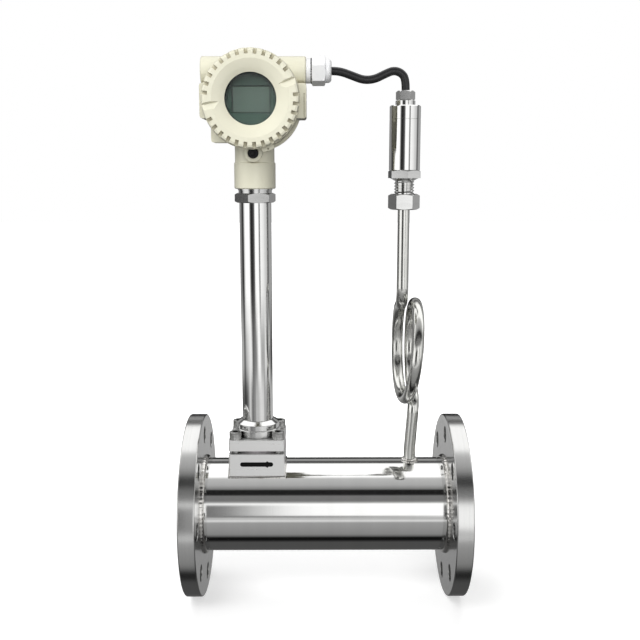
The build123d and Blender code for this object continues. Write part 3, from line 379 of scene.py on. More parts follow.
def beadFinish(name, settings):
    material, tree, shader, place = startMaterial(name, {"Metallic": 1.0})
    stains = grain(tree, place, settings["stainScale"], detail=4.0)
    pores = grain(tree, place, settings["poreScale"])
    share = vary(tree, settings["stainMiddle"], (stains, settings["stainShare"]))
    colour = blendColours(tree, share, settings["dark"], settings["light"])
    base = settings["roughness"]
    roughness = vary(tree, base, (stains, base * settings["stainGloss"]))
    setSurface(tree, shader, colour, roughness, pores, settings["poreDepth"])
    return material


coating = {
    "metallic": 0.0,
    "cloudShare": 1.5,  # how far clouds move the colour
    "cloudGloss": 0.4,  # how far clouds and specks move the roughness
    "speckGloss": 0.2,
    "speckFineness": 4.0,  # beside the grain
    "speckHeight": 0.3,
}
enamelSettings = {
    **coating,
    "light": (0.790, 0.772, 0.628, 1),
    "dark": (0.755, 0.735, 0.585, 1),
    "roughness": 0.32,
    "cloudScale": 26.0,
    "grainScale": 520.0,
    "grainDepth": 0.02 * mm,
    "coat": 0.12,
    "coatRoughness": 0.07,
    "gloss": 0.25,
    "cornerShade": (0.40, 0.36, 0.24, 1),
    "reach": 4.5 * mm,
}
nylonSettings = {
    **coating,
    "light": (0.90, 0.90, 0.91, 1),
    "dark": (0.85, 0.86, 0.87, 1),
    "roughness": 0.38,
    "cloudScale": 60.0,
    "grainScale": 900.0,
    "grainDepth": 0.02 * mm,
}
rubberSettings = {
    **coating,
    "light": (0.040, 0.040, 0.041, 1),
    "dark": (0.022, 0.022, 0.023, 1),
    "roughness": 0.58,
    "cloudScale": 90.0,
    "grainScale": 1400.0,
    "grainDepth": 0.03 * mm,
}
sheathSettings = {
    **coating,
    "light": (0.018, 0.018, 0.019, 1),
    "dark": (0.011, 0.011, 0.012, 1),
    "roughness": 0.32,
    "cloudScale": 45.0,
    "grainScale": 1100.0,
    "grainDepth": 0.025 * mm,
}
oxideSettings = {
    **coating,
    "light": (0.008, 0.008, 0.009, 1),
    "dark": (0.004, 0.004, 0.005, 1),
    "roughness": 0.22,
    "cloudScale": 160.0,
    "grainScale": 1500.0,
    "grainDepth": 0.01 * mm,
    "gloss": 0.3,
}
paintSettings = {
    **coating,
    "light": (0.004, 0.004, 0.004, 1),
    "dark": (0.002, 0.002, 0.002, 1),
    "roughness": 0.45,
    "cloudScale": 200.0,
    "grainScale": 1500.0,
    "grainDepth": 0.01 * mm,
    "gloss": 0.15,
}
gasketSettings = {
    **coating,
    "light": (0.66, 0.62, 0.64, 1),
    "dark": (0.44, 0.41, 0.43, 1),
    "roughness": 0.78,
    "cloudScale": 420.0,
    "grainScale": 2200.0,
    "grainDepth": 0.08 * mm,
}
postSettings = {
    **coating,
    "light": (0.80, 0.64, 0.33, 1),
    "dark": (0.66, 0.50, 0.22, 1),
    "roughness": 0.28,
    "cloudScale": 150.0,
    "grainScale": 1500.0,
    "grainDepth": 0.01 * mm,
    "metallic": 1.0,
}
terminalSettings = {
    **coating,
    "light": (0.075, 0.27, 0.16, 1),
    "dark": (0.055, 0.21, 0.12, 1),
    "roughness": 0.42,
    "cloudScale": 90.0,
    "grainScale": 1200.0,
    "grainDepth": 0.02 * mm,
}
screwSettings = {
    **coating,
    "light": (0.62, 0.62, 0.61, 1),
    "dark": (0.40, 0.40, 0.39, 1),
    "roughness": 0.13,
    "cloudScale": 200.0,
    "grainScale": 1500.0,
    "grainDepth": 0.01 * mm,
    "metallic": 1.0,
    "cornerShade": (0.015, 0.015, 0.015, 1),
    "reach": 4.0 * mm,
}


def coatedFinish(name, settings):
    sockets = {"Metallic": settings["metallic"]}
    if "coat" in settings:
        sockets["Coat Weight"] = settings["coat"]
        sockets["Coat Roughness"] = settings["coatRoughness"]
    if "gloss" in settings:
        sockets["Specular IOR Level"] = settings["gloss"]
    material, tree, shader, place = startMaterial(name, sockets)
    speckScale = settings["grainScale"] * settings["speckFineness"]
    clouds = grain(tree, place, settings["cloudScale"], detail=4.0)
    peel = grain(tree, place, settings["grainScale"])
    specks = grain(tree, place, speckScale, detail=1.0)
    share = vary(tree, 0.5, (clouds, settings["cloudShare"]))
    colour = blendColours(tree, share, settings["dark"], settings["light"])
    # painted shade darkens the corners
    if "cornerShade" in settings:
        colour = addCornerShade(tree, colour, settings)
    base = settings["roughness"]
    roughness = vary(
        tree,
        base,
        (clouds, base * settings["cloudGloss"]),
        (specks, base * settings["speckGloss"]),
    )
    height = calc(tree, "ADD", peel, calc(tree, "MULTIPLY", specks, settings["speckHeight"]))
    setSurface(tree, shader, colour, roughness, height, settings["grainDepth"])
    return material


boardSettings = {
    "mask": (0.016, 0.115, 0.050, 1),
    "trace": (0.030, 0.190, 0.085, 1),
    "pad": (0.55, 0.50, 0.38, 1),
    "roughness": 0.36,
    "coat": 0.4,
    "cell": 2.6 * mm,
    "traceEdge": (0.42, 0.47),  # in cells from a pad's middle
    "padEdge": (0.09, 0.12),
    "weaveScale": 700.0,
    "depth": 0.03 * mm,
}


def boardFinish(name, settings):
    material, tree, shader, place = startMaterial(name, {"Coat Weight": settings["coat"]})
    scaled = addNode(
        tree,
        "VectorMath",
        {0: place, "Scale": 1 / settings["cell"]},
        operation="SCALE",
    )
    cells = addNode(
        tree,
        "TexVoronoi",
        {"Vector": scaled.outputs["Vector"], "Scale": 1.0},
        distance="MANHATTAN",
        feature="F1",
    )
    distance = cells.outputs["Distance"]
    traces = smoothStep(tree, distance, *settings["traceEdge"])
    pads = smoothStep(tree, distance, *settings["padEdge"], 1.0, 0.0)
    colour = blendColours(tree, traces, settings["mask"], settings["trace"])
    colour = blendColours(tree, pads, colour, settings["pad"])
    height = calc(tree, "ADD", traces, grain(tree, place, settings["weaveScale"]))
    setSurface(tree, shader, colour, settings["roughness"], height, settings["depth"])
    return material


shading = {
    "gloss": 0.3,
    "cloudScale": 50.0,
    "cloudShare": 0.12,
    "grainScale": 2600.0,
    "grainGloss": 0.5,
    "grainDepth": 0.01 * mm,
}
plateSettings = {
    **shading,
    "top": (0.007, 0.017, 0.012, 1),
    "bottom": (0.026, 0.050, 0.039, 1),
    "black": (0.002, 0.003, 0.003, 1),
    "low": 408 * mm,
    "high": 468 * mm,
    "roughness": 0.42,
    "openingX": 18.2 * mm,  # half of the display's opening
    "openingZ": 12.5 * mm,
    "openingShadeWidth": 1.3 * mm,
    "openingShadeSolid": 0.7,  # share of the width that is black all over
    "rimNear": 21.5 * mm,
    "rimFar": 26.0 * mm,
    "rimDrop": 1.6 * mm,
    "rimShade": 0.85,
}
screenSettings = {
    **shading,
    "top": (0.044, 0.059, 0.050, 1),
    "bottom": (0.046, 0.064, 0.054, 1),
    "low": 425 * mm,
    "high": 451 * mm,
    "roughness": 0.30,
}


def addOpeningShade(tree, place, colour, settings):
    # painted shade: a black band runs round the opening of the display, where its edge lies in
    # shade
    offset = calcVector(tree, "ABSOLUTE", calcVector(tree, "SUBTRACT", place, headCentre))
    parts = addNode(tree, "SeparateXYZ", {"Vector": offset})
    right = calc(tree, "SUBTRACT", parts.outputs["X"], settings["openingX"])
    above = calc(tree, "SUBTRACT", parts.outputs["Z"], settings["openingZ"])
    outside = calc(tree, "MAXIMUM", right, above)
    width = settings["openingShadeWidth"]
    line = smoothStep(tree, outside, width * settings["openingShadeSolid"], width, 1.0, 0.0)
    return blendColours(tree, line, colour, settings["black"])


def addRimShade(tree, place, colour, settings):
    # painted shadow: the plate is darker towards the window's rim, most of all at its top, where
    # the cover's lip shades it
    middle = Vector(headCentre) - Vector((0, 0, settings["rimDrop"]))
    flat = calcVector(tree, "MULTIPLY", calcVector(tree, "SUBTRACT", place, middle), (1, 0, 1))
    reach = calcVector(tree, "LENGTH", flat)
    rim = smoothStep(
        tree,
        reach,
        settings["rimNear"],
        settings["rimFar"],
        0.0,
        settings["rimShade"],
    )
    return blendColours(tree, rim, colour, settings["black"])


def shadedFinish(name, settings):
    sockets = {"Specular IOR Level": settings["gloss"]}
    material, tree, shader, place = startMaterial(name, sockets)
    # painted shade: the colour is darker towards the top and lighter towards the bottom
    height = addNode(tree, "SeparateXYZ", {"Vector": place}).outputs["Z"]
    share = smoothStep(tree, height, settings["low"], settings["high"])
    clouds = grain(tree, place, settings["cloudScale"], detail=3.0)
    share = calc(tree, "ADD", share, vary(tree, 0.0, (clouds, settings["cloudShare"])))
    colour = blendColours(tree, share, settings["bottom"], settings["top"])
    # painted shade round the opening and towards the window's rim
    if "openingX" in settings:
        colour = addOpeningShade(tree, place, colour, settings)
        colour = addRimShade(tree, place, colour, settings)
    fine = grain(tree, place, settings["grainScale"], detail=1.0)
    base = settings["roughness"]
    roughness = vary(tree, base, (fine, base * settings["grainGloss"]))
    setSurface(tree, shader, colour, roughness, fine, settings["grainDepth"])
    return material


glassSettings = {
    "colour": (0.93, 0.97, 0.95, 1),
    "refraction": 1.22,  # coated against reflections
    "hazeScale": 70.0,
    "haze": 0.015,
    "hazeShare": 0.02,
}


def glassFinish(name, settings):
    sockets = {
        "Base Color": settings["colour"],
        "Transmission Weight": 1.0,
        "IOR": settings["refraction"],
    }
    material, tree, shader, place = startMaterial(name, sockets)
    haze = grain(tree, place, settings["hazeScale"], detail=3.0)
    roughness = vary(tree, settings["haze"], (haze, settings["hazeShare"]))
    setInputs(tree, shader, {"Roughness": roughness})
    # the lamps shine through the glass
    shadow = addNode(tree, "LightPath").outputs["Is Shadow Ray"]
    clear = addNode(tree, "BsdfTransparent", {"Color": settings["colour"]})
    inputs = {0: shadow, 1: shader.outputs[0], 2: clear.outputs[0]}
    mixed = addNode(tree, "MixShader", inputs)
    setInputs(tree, tree.nodes["Material Output"], {"Surface": mixed.outputs[0]})
    return material


facedPipe = turnedFinish("facedPipe", facedSettings, pipeCentre, alongX)
polishedPipe = turnedFinish("polishedPipe", polishedSettings, pipeCentre, alongX)
turnedStem = turnedFinish("turnedStem", turnedSettings, stemCentre, alongZ)
polishedStem = turnedFinish("polishedStem", polishedSettings, stemCentre, alongZ)
hexStem = turnedFinish("hexStem", hexSettings, stemCentre, alongZ)
collarSteel = turnedFinish("collarSteel", collarSettings, stemCentre, alongZ)
turnedLine = turnedFinish("turnedLine", turnedSettings, lineCentre, alongZ)
polishedLine = turnedFinish("polishedLine", polishedSettings, lineCentre, alongZ)
drawnLine = turnedFinish("drawnLine", drawnSettings, lineCentre, alongZ)
turnedPort = turnedFinish("turnedPort", turnedSettings, headCentre, alongX)
groundBlock = groundFinish("groundBlock", groundSettings)
weldedBead = beadFinish("weldedBead", beadSettings)
creamEnamel = coatedFinish("creamEnamel", enamelSettings)
whiteNylon = coatedFinish("whiteNylon", nylonSettings)
blackRubber = coatedFinish("blackRubber", rubberSettings)
cableSheath = coatedFinish("cableSheath", sheathSettings)
blackOxide = coatedFinish("blackOxide", oxideSettings)
blackPaint = coatedFinish("blackPaint", paintSettings)
fibreGasket = coatedFinish("fibreGasket", gasketSettings)
brassPost = coatedFinish("brassPost", postSettings)
terminalPlastic = coatedFinish("terminalPlastic", terminalSettings)
brightScrew = coatedFinish("brightScrew", screwSettings)
circuitBoard = boardFinish("circuitBoard", boardSettings)
displayPlate = shadedFinish("displayPlate", plateSettings)
displayScreen = shadedFinish("displayScreen", screenSettings)
windowGlass = glassFinish("windowGlass", glassSettings)

# the nodes that are shown as they are
finishes = {
    polishedPipe: ["flow_tube"],
    facedPipe: ["bluff_body"],
    turnedStem: ["vortex_probe"],
    polishedStem: ["stem_tube"],
    turnedLine: ["union_nipple", "pressure_cell"],
    drawnLine: ["siphon_tube"],
    polishedLine: ["transmitter_body"],
    blackRubber: ["cable_grommet", "gland_seal", "window_gasket", "front_seal", "rear_seal"],
    cableSheath: ["probe_lead"],
    blackOxide: ["window_ring"],
    fibreGasket: ["seat_gasket", "union_seal"],
    brassPost: ["board_posts"],
    terminalPlastic: ["terminal_block"],
    brightScrew: ["terminal_screws", "earth_screw"],
    circuitBoard: ["display_board", "main_board"],
    displayPlate: ["display_bezel"],
    displayScreen: ["lcd_panel"],
    windowGlass: ["window_glass"],
}
for material, names in finishes.items():
    for name in names:
        for materialSlot in nodes[name].material_slots:
            materialSlot.material = material

print("stage: rounded edges")
# node: name of its piece, width of the rounded edge, finish, slot and body
roundedSettings = {
    "inlet_flange": ("inletFlange", 0.5 * mm, facedPipe, "stainless_turned", "meter"),
    "outlet_flange": ("outletFlange", 0.5 * mm, facedPipe, "stainless_turned", "meter"),
    "sensor_seat": ("sensorSeat", 0.35 * mm, groundBlock, "stainless_turned", "meter"),
    "clamp_plate": ("clampPlate", 0.35 * mm, groundBlock, "stainless_turned", "meter"),
    "stem_collar": ("stemCollar", 0.3 * mm, collarSteel, "stainless_turned", "meter"),
    "stem_adapter": ("stemAdapter", 0.35 * mm, hexStem, "stainless_turned", "meter"),
    "union_nut": ("unionNut", 0.35 * mm, turnedLine, "stainless_turned", "meter"),
    "transmitter_base": ("transmitterBase", 0.3 * mm, turnedLine, "stainless_turned", "meter"),
    "transmitter_cap": ("transmitterCap", 0.3 * mm, turnedLine, "stainless_turned", "meter"),
    "cable_nut": ("cableNut", 0.3 * mm, turnedLine, "stainless_turned", "meter"),
    "housing": ("housingShell", 0.6 * mm, creamEnamel, "cream_enamel", "head"),
    "front_cover": ("frontCover", 0.4 * mm, creamEnamel, "cream_enamel", "front_cap"),
    "rear_cover": ("rearCover", 0.4 * mm, creamEnamel, "cream_enamel", "rear_cap"),
    "gland_body": ("glandBody", 0.3 * mm, whiteNylon, "white_nylon", "head"),
    "gland_nut": ("glandNut", 0.5 * mm, whiteNylon, "white_nylon", "head"),
    "neck_screw": ("neckScrew", 0.45 * mm, blackOxide, "black_oxide", "head"),
    "blind_plug": ("blindPlug", 0.3 * mm, turnedPort, "stainless_turned", "head"),
}
smoothing = {
    "flatWithin": 0.6,  # degrees between facets that are one flat face
    "sharpFrom": 18,  # degrees at an edge that is rounded
    "segments": 2,
    "normalWeight": 60,
}
threadSettings = {
    "core": 9.2 * mm,
    "shankLow": 338.5 * mm,
    "shankHigh": 353.5 * mm,
    "low": 344.4 * mm,
    "height": 1.45 * mm,
    "pitch": 3.1 * mm,
    "ridgeHalf": 0.46,  # share of the pitch
    "turns": 4,
    "steps": 72,
}
arrowSettings = {
    "back": -28.0 * mm,
    "front": -29.6 * mm,
    "reach": 18.6 * mm,
    "low": 50 * mm,
    "high": 62 * mm,
}


def makeRounded(nodeName, name, width, material, slotName, body):
    source = nodes[nodeName]
    piece = bpy.data.objects.new(name, source.data.copy())
    bpy.context.collection.objects.link(piece)
    piece.matrix_world = source.matrix_world.copy()
    pickOnly(piece)
    bpy.ops.mesh.customdata_custom_splitnormals_clear()
    bpy.ops.object.mode_set(mode="EDIT")
    bpy.ops.mesh.select_all(action="SELECT")
    bpy.ops.mesh.remove_doubles(threshold=tiny)
    bpy.ops.mesh.dissolve_limited(angle_limit=radians(smoothing["flatWithin"]))
    bpy.ops.object.mode_set(mode="OBJECT")
    if nodeName == "transmitter_base":
        moveVertices(piece, slimShank)
    useModifier(
        piece,
        "BEVEL",
        width=width,
        segments=smoothing["segments"],
        limit_method="ANGLE",
        angle_limit=radians(smoothing["sharpFrom"]),
    )
    finishPiece(piece, name, material, body, smoothAngle=60)
    useModifier(piece, "WEIGHTED_NORMAL", weight=smoothing["normalWeight"], keep_sharp=True)
    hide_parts(nodeName)
    return piece


def slimShank(point):
    # room for the thread that is wound round the shank later
    core, middle = threadSettings["core"], lineCentre[0]
    reach = hypot(point.x - middle, point.y)
    if reach <= core or not threadSettings["shankLow"] < point.z < threadSettings["shankHigh"]:
        return point
    share = core / reach
    return Vector((middle + (point.x - middle) * share, point.y * share, point.z))


def makeArrowPaint(seat, settings):
    def inArrow(centre, normal):
        level = settings["low"] < centre.z < settings["high"]
        inside = settings["front"] < centre.y < settings["back"]
        return level and inside and abs(centre.x - stemCentre[0]) < settings["reach"]

    chooseFaces(seat, inArrow)
    bpy.ops.mesh.separate(type="SELECTED")
    bpy.ops.object.mode_set(mode="OBJECT")
    arrow = [piece for piece in bpy.context.selected_objects if piece != seat][0]
    arrow.name = "arrowPaint"
    arrow.data.materials.clear()
    arrow.data.materials.append(blackPaint)
    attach(arrow, "meter")


rounded = {
    nodeName: makeRounded(nodeName, *settings) for nodeName, settings in roundedSettings.items()
}
makeArrowPaint(rounded["sensor_seat"], arrowSettings)

print("stage: signal cable")
cableSettings = {
    "diameter": 8.5 * mm,
    "length": 0.0962,
    "sides": 28,
    "spanSteps": 8,
    "bendStart": (0.2330, 0, 0.4670),
    "bendEnd": (0.1640, 0, 0.4670),
    "route": [
        (0.1578, 0, 0.4698),
        (0.1635, 0, 0.4698),
        (0.1710, 0, 0.4686),
        (0.1810, 0, 0.4650),
        (0.1925, 0, 0.4607),
        (0.2040, 0, 0.4615),
        (0.2150, 0, 0.4669),
        (0.2233, 0, 0.4704),
        (0.2313, 0, 0.4684),
        (0.2364, 0, 0.4618),
        (0.2364, 0, 0.4500),
    ],
}


def makeLine(name, route, spanSteps):
    line = bpy.data.curves.new(name, "CURVE")
    line.dimensions = "3D"
    line.resolution_u = spanSteps
    spline = line.splines.new("NURBS")
    spline.points.add(len(route) - 1)
    for point, place in zip(spline.points, route):
        point.co = (*place, 1)
    spline.order_u = 3
    spline.use_endpoint_u = True
    piece = bpy.data.objects.new(name, line)
    bpy.context.collection.objects.link(piece)
    return piece


def meshOf(piece):
    bpy.context.view_layer.update()
    shown = piece.evaluated_get(bpy.context.evaluated_depsgraph_get())
    return bpy.data.meshes.new_from_object(shown)


def makeCable(settings):
    line = makeLine("cableLine", settings["route"], settings["spanSteps"])
    bare = meshOf(line)
    line.data.bevel_depth = settings["diameter"] / 2
    line.data.bevel_resolution = settings["sides"] // 4
    line.data.use_fill_caps = True
    cable = bpy.data.objects.new("signalCable", meshOf(line))
    bpy.context.collection.objects.link(cable)
    bpy.data.objects.remove(line)
    finishPiece(cable, "signalCable", cableSheath, None)
    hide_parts("signal_cable")
    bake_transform(cable)


makeCable(cableSettings)

print("stage: weld beads")
flangeBeadSettings = {
    "ring": pipeRadius,
    "size": 3.6 * mm,
    "ripples": 72,
    "depth": 0.12,
    "steps": 430,
    "sides": 20,
    "inletAt": 20 * mm,
    "outletAt": 286 * mm,
}
tapBeadSettings = {
    "ring": 6.9 * mm,
    "size": 2.6 * mm,
    "ripples": 13,
    "depth": 0.16,
    "steps": 144,
    "sides": 16,
    "at": 247 * mm,
}
rippleSettings = {
    "bend": 2.2,  # how far a crest bends into a crescent
    "middle": 0.6,  # how far up a ripple the bead has its own size
    "even": 0.7,
    "uneven": 0.3,
    "waves": (5, 11),  # a slow and a quick wave make the depth uneven
    "shift": 1.3,
}


def addRing(radius, tube, settings, place=(0, 0, 0), turn=(0, 0, 0)):
    deselectAll()
    bpy.ops.mesh.primitive_torus_add(
        major_radius=radius,
        minor_radius=tube,
        major_segments=settings["steps"],
        minor_segments=settings["sides"],
        location=place,
        rotation=turn,
    )
    return bpy.context.object


def crest(ripples, angle, bend, around):
    # from 0 in a valley to 1 on a crest, whose ends lag behind its middle
    return 0.5 + 0.5 * cos(ripples * angle + bend * around * around)


def addBead(settings, place=(0, 0, 0), turn=(0, 0, 0)):
    bead = addRing(settings["ring"], settings["size"], settings, place, turn)
    slow, quick = rippleSettings["waves"]

    def ripple(point):
        angle = atan2(point.y, point.x)
        middle = Vector((cos(angle), sin(angle), 0)) * settings["ring"]
        out = point - middle
        around = atan2(out.z, out.length + hypot(point.x, point.y) - settings["ring"])
        swell = sin(slow * angle + rippleSettings["shift"]) * sin(quick * angle)
        depth = settings["depth"] * (rippleSettings["even"] + rippleSettings["uneven"] * swell)
        wave = crest(settings["ripples"], angle, rippleSettings["bend"], around)
        return middle + out * (1 + depth * (wave - rippleSettings["middle"]))

    moveVertices(bead, ripple)
    return bead


def makeFlangeBead(name, nodeName, along):
    bead = addBead(flangeBeadSettings, place=(along, 0, 0), turn=(0, pi / 2, 0))
    finishPiece(bead, name, weldedBead, "meter", smoothAngle=60)
    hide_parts(nodeName)


makeFlangeBead("inletBead", "inlet_weld", flangeBeadSettings["inletAt"])
makeFlangeBead("outletBead", "outlet_weld", flangeBeadSettings["outletAt"])


def onPipe(y):
    return sqrt(pipeRadius**2 - y**2)


def makeTapBead(settings):
    bead = addBead(settings)
    moveVertices(
        bead,
        lambda point: Vector((point.x + settings["at"], point.y, point.z + onPipe(point.y))),
    )
    finishPiece(bead, "tapBead", weldedBead, "meter", smoothAngle=60)
    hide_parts("tap_weld")


makeTapBead(tapBeadSettings)

seatBeadSettings = {
    "half": 30.0 * mm,
    "size": 1.7 * mm,
    "ripples": 92,
    "depth": 0.18,
    "bend": 1.5,
    "middle": 0.5,
    "steps": 736,
    "sides": 12,
}


def makeSeatBead(settings):
    # the ring of a torus is led round the block's square foot on the pipe
    tubes = 10  # the ring's radius in radii of its tube
    bead = addRing(1.0, 1 / tubes, settings)

    def follow(point):
        angle = atan2(point.y, point.x)
        side = 1 / max(abs(cos(angle)), abs(sin(angle)))
        x = cos(angle) * side * settings["half"]
        y = sin(angle) * side * settings["half"]
        reach = (hypot(point.x, point.y) - 1) * tubes
        height = point.z * tubes
        wave = crest(settings["ripples"], angle, settings["bend"], atan2(height, reach))
        size = settings["size"] * (1 + settings["depth"] * (wave - settings["middle"]))
        x += cos(angle) * reach * size
        y += sin(angle) * reach * size
        return Vector((stemCentre[0] + x, y, onPipe(y) + height * size))

    moveVertices(bead, follow)
    finishPiece(bead, "seatBead", weldedBead, "meter", smoothAngle=60)


makeSeatBead(seatBeadSettings)

print("stage: clamp screws")
capScrewSettings = {
    "headRadius": 6.5 * mm,
    "headHeight": 8.0 * mm,
    "knurls": 30,
    "knurlDepth": 0.42 * mm,
    "knurlLow": 0.8 * mm,
    "knurlHigh": 6.4 * mm,
    "edgeIn": 0.54 * mm,
    "edgeUp": 0.315 * mm,
    "keyHalf": 3.0 * mm,
    "keyDepth": 4.0 * mm,
    "keyRim": 1.9 * mm,
    "pointIn": 1.4 * mm,  # the drill's point at the end of the socket
    "pointDown": 0.8 * mm,
    "shankRadius": 4.0 * mm,
    "shankLength": 25.7 * mm,
    "seat": 82.4 * mm,
    "pitchHalf": 23.0022 * mm,
    "turns": (12, 47, 31, 5),
}


def extrudeDown(depth):
    bpy.ops.mesh.extrude_region_move(TRANSFORM_OT_translate={"value": (0, 0, -depth)})


def makeCapScrew(settings):
    deselectAll()
    steps = settings["knurls"] * 2
    radius, height = settings["headRadius"], settings["headHeight"]
    bpy.ops.mesh.primitive_cylinder_add(
        vertices=steps,
        radius=radius,
        depth=height,
        location=(0, 0, height / 2),
    )
    screw = bpy.context.object
    pickOnly(screw)
    bpy.ops.object.transform_apply(location=True)
    # the top edge slopes, and two cuts bound the knurled band
    chooseFaces(screw, lambda centre, normal: normal.z > squareOn)
    bpy.ops.mesh.inset(thickness=settings["edgeIn"])
    bpy.ops.transform.translate(value=(0, 0, settings["edgeUp"]))
    for level in ("knurlLow", "knurlHigh"):
        bpy.ops.mesh.select_all(action="SELECT")
        bpy.ops.mesh.bisect(plane_co=(0, 0, settings[level]), plane_no=(0, 0, 1))
    # the key's socket
    chooseFaces(screw, lambda centre, normal: normal.z > squareOn and centre.z > height)
    bpy.ops.mesh.inset(thickness=settings["keyRim"])
    bpy.ops.object.mode_set(mode="OBJECT")
    inner = radius - settings["edgeIn"] - settings["keyRim"] + near
    top = height + settings["edgeUp"] - near

    def shapeHead(point):
        reach = hypot(point.x, point.y)
        angle = atan2(point.y, point.x)
        if point.z > top and reach < inner:
            side = (angle % (tau / 6)) - tau / 12
            reach = settings["keyHalf"] / cos(side)
        elif settings["knurlLow"] - tiny < point.z < settings["knurlHigh"] + tiny:
            tooth = round(angle / (tau / steps))
            reach -= settings["knurlDepth"] * (tooth % 2)
        return Vector((cos(angle) * reach, sin(angle) * reach, point.z))

    def inSocket(centre, normal):
        return normal.z > squareOn and centre.z > top and hypot(centre.x, centre.y) < near

    moveVertices(screw, shapeHead)
    chooseFaces(screw, inSocket)
    extrudeDown(settings["keyDepth"])
    bpy.ops.mesh.inset(thickness=settings["pointIn"])
    bpy.ops.transform.translate(value=(0, 0, -settings["pointDown"]))
    # the shank under the head
    chooseFaces(screw, lambda centre, normal: normal.z < -squareOn)
    bpy.ops.mesh.inset(thickness=radius - settings["shankRadius"])
    extrudeDown(settings["shankLength"])
    bpy.ops.object.mode_set(mode="OBJECT")
    return screw


def makeClampScrews(settings):
    first = makeCapScrew(settings)
    half = settings["pitchHalf"]
    for index, turn in enumerate(settings["turns"]):
        screw = first.copy()
        screw.data = first.data.copy()
        bpy.context.collection.objects.link(screw)
        right = 1 if index % 2 else -1
        back = 1 if index > 1 else -1
        screw.location = (stemCentre[0] + right * half, back * half, settings["seat"])
        screw.rotation_euler = (0, 0, radians(turn))
        name = f"clampScrew{index + 1}"
        finishPiece(screw, name, brightScrew, "meter", smoothAngle=30)
    bpy.data.objects.remove(first)
    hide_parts("clamp_screws")


makeClampScrews(capScrewSettings)

print("stage: transmitter thread")


def makeThread(settings):
    deselectAll()
    half = settings["pitch"] * settings["ridgeHalf"]
    bpy.ops.mesh.primitive_circle_add(vertices=4, radius=half, location=(0, 0, 0))
    ridge = bpy.context.object
    bpy.ops.object.mode_set(mode="EDIT")
    bpy.ops.mesh.select_all(action="SELECT")
    bpy.ops.transform.rotate(value=pi / 2, orient_axis="X", center_override=(0, 0, 0))
    bpy.ops.object.mode_set(mode="OBJECT")
    squeeze = settings["height"] / half
    moveVertices(
        ridge,
        lambda point: Vector((settings["core"] + point.x * squeeze, 0, point.z + settings["low"])),
    )
    useModifier(
        ridge,
        "SCREW",
        axis="Z",
        angle=tau,
        screw_offset=settings["pitch"],
        iterations=settings["turns"],
        steps=settings["steps"],
        render_steps=settings["steps"],
        use_merge_vertices=True,
    )
    ridge.location = (lineCentre[0], 0, 0)
    finishPiece(ridge, "baseThread", turnedLine, "meter", smoothAngle=40)


makeThread(threadSettings)

print("stage: gland washer")
washerSettings = {
    "radius": 12.9 * mm,
    "inner": 11.6 * mm,
    "teeth": 26,
    "toothSteps": 4,
    "left": 137.9 * mm,
    "width": 1.2 * mm,
}


def makeWasher(settings):
    deselectAll()
    toothSteps = settings["toothSteps"]
    steps = settings["teeth"] * toothSteps
    bpy.ops.mesh.primitive_cylinder_add(
        vertices=steps,
        radius=settings["radius"],
        depth=settings["width"],
        location=(settings["left"] + settings["width"] / 2, 0, portHeight),
        rotation=(0, pi / 2, 0),
    )
    washer = bpy.context.object

    def cutTeeth(point):
        step = round(atan2(point.y, point.x) / (tau / steps))
        cut = step % toothSteps >= toothSteps / 2
        reach = settings["inner"] / settings["radius"] if cut else 1
        return Vector((point.x * reach, point.y * reach, point.z))

    moveVertices(washer, cutTeeth)
    finishPiece(washer, "toothedWasher", blackRubber, "head", smoothAngle=30)
    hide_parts("gland_washer")


makeWasher(washerSettings)

print("stage: light and floor")
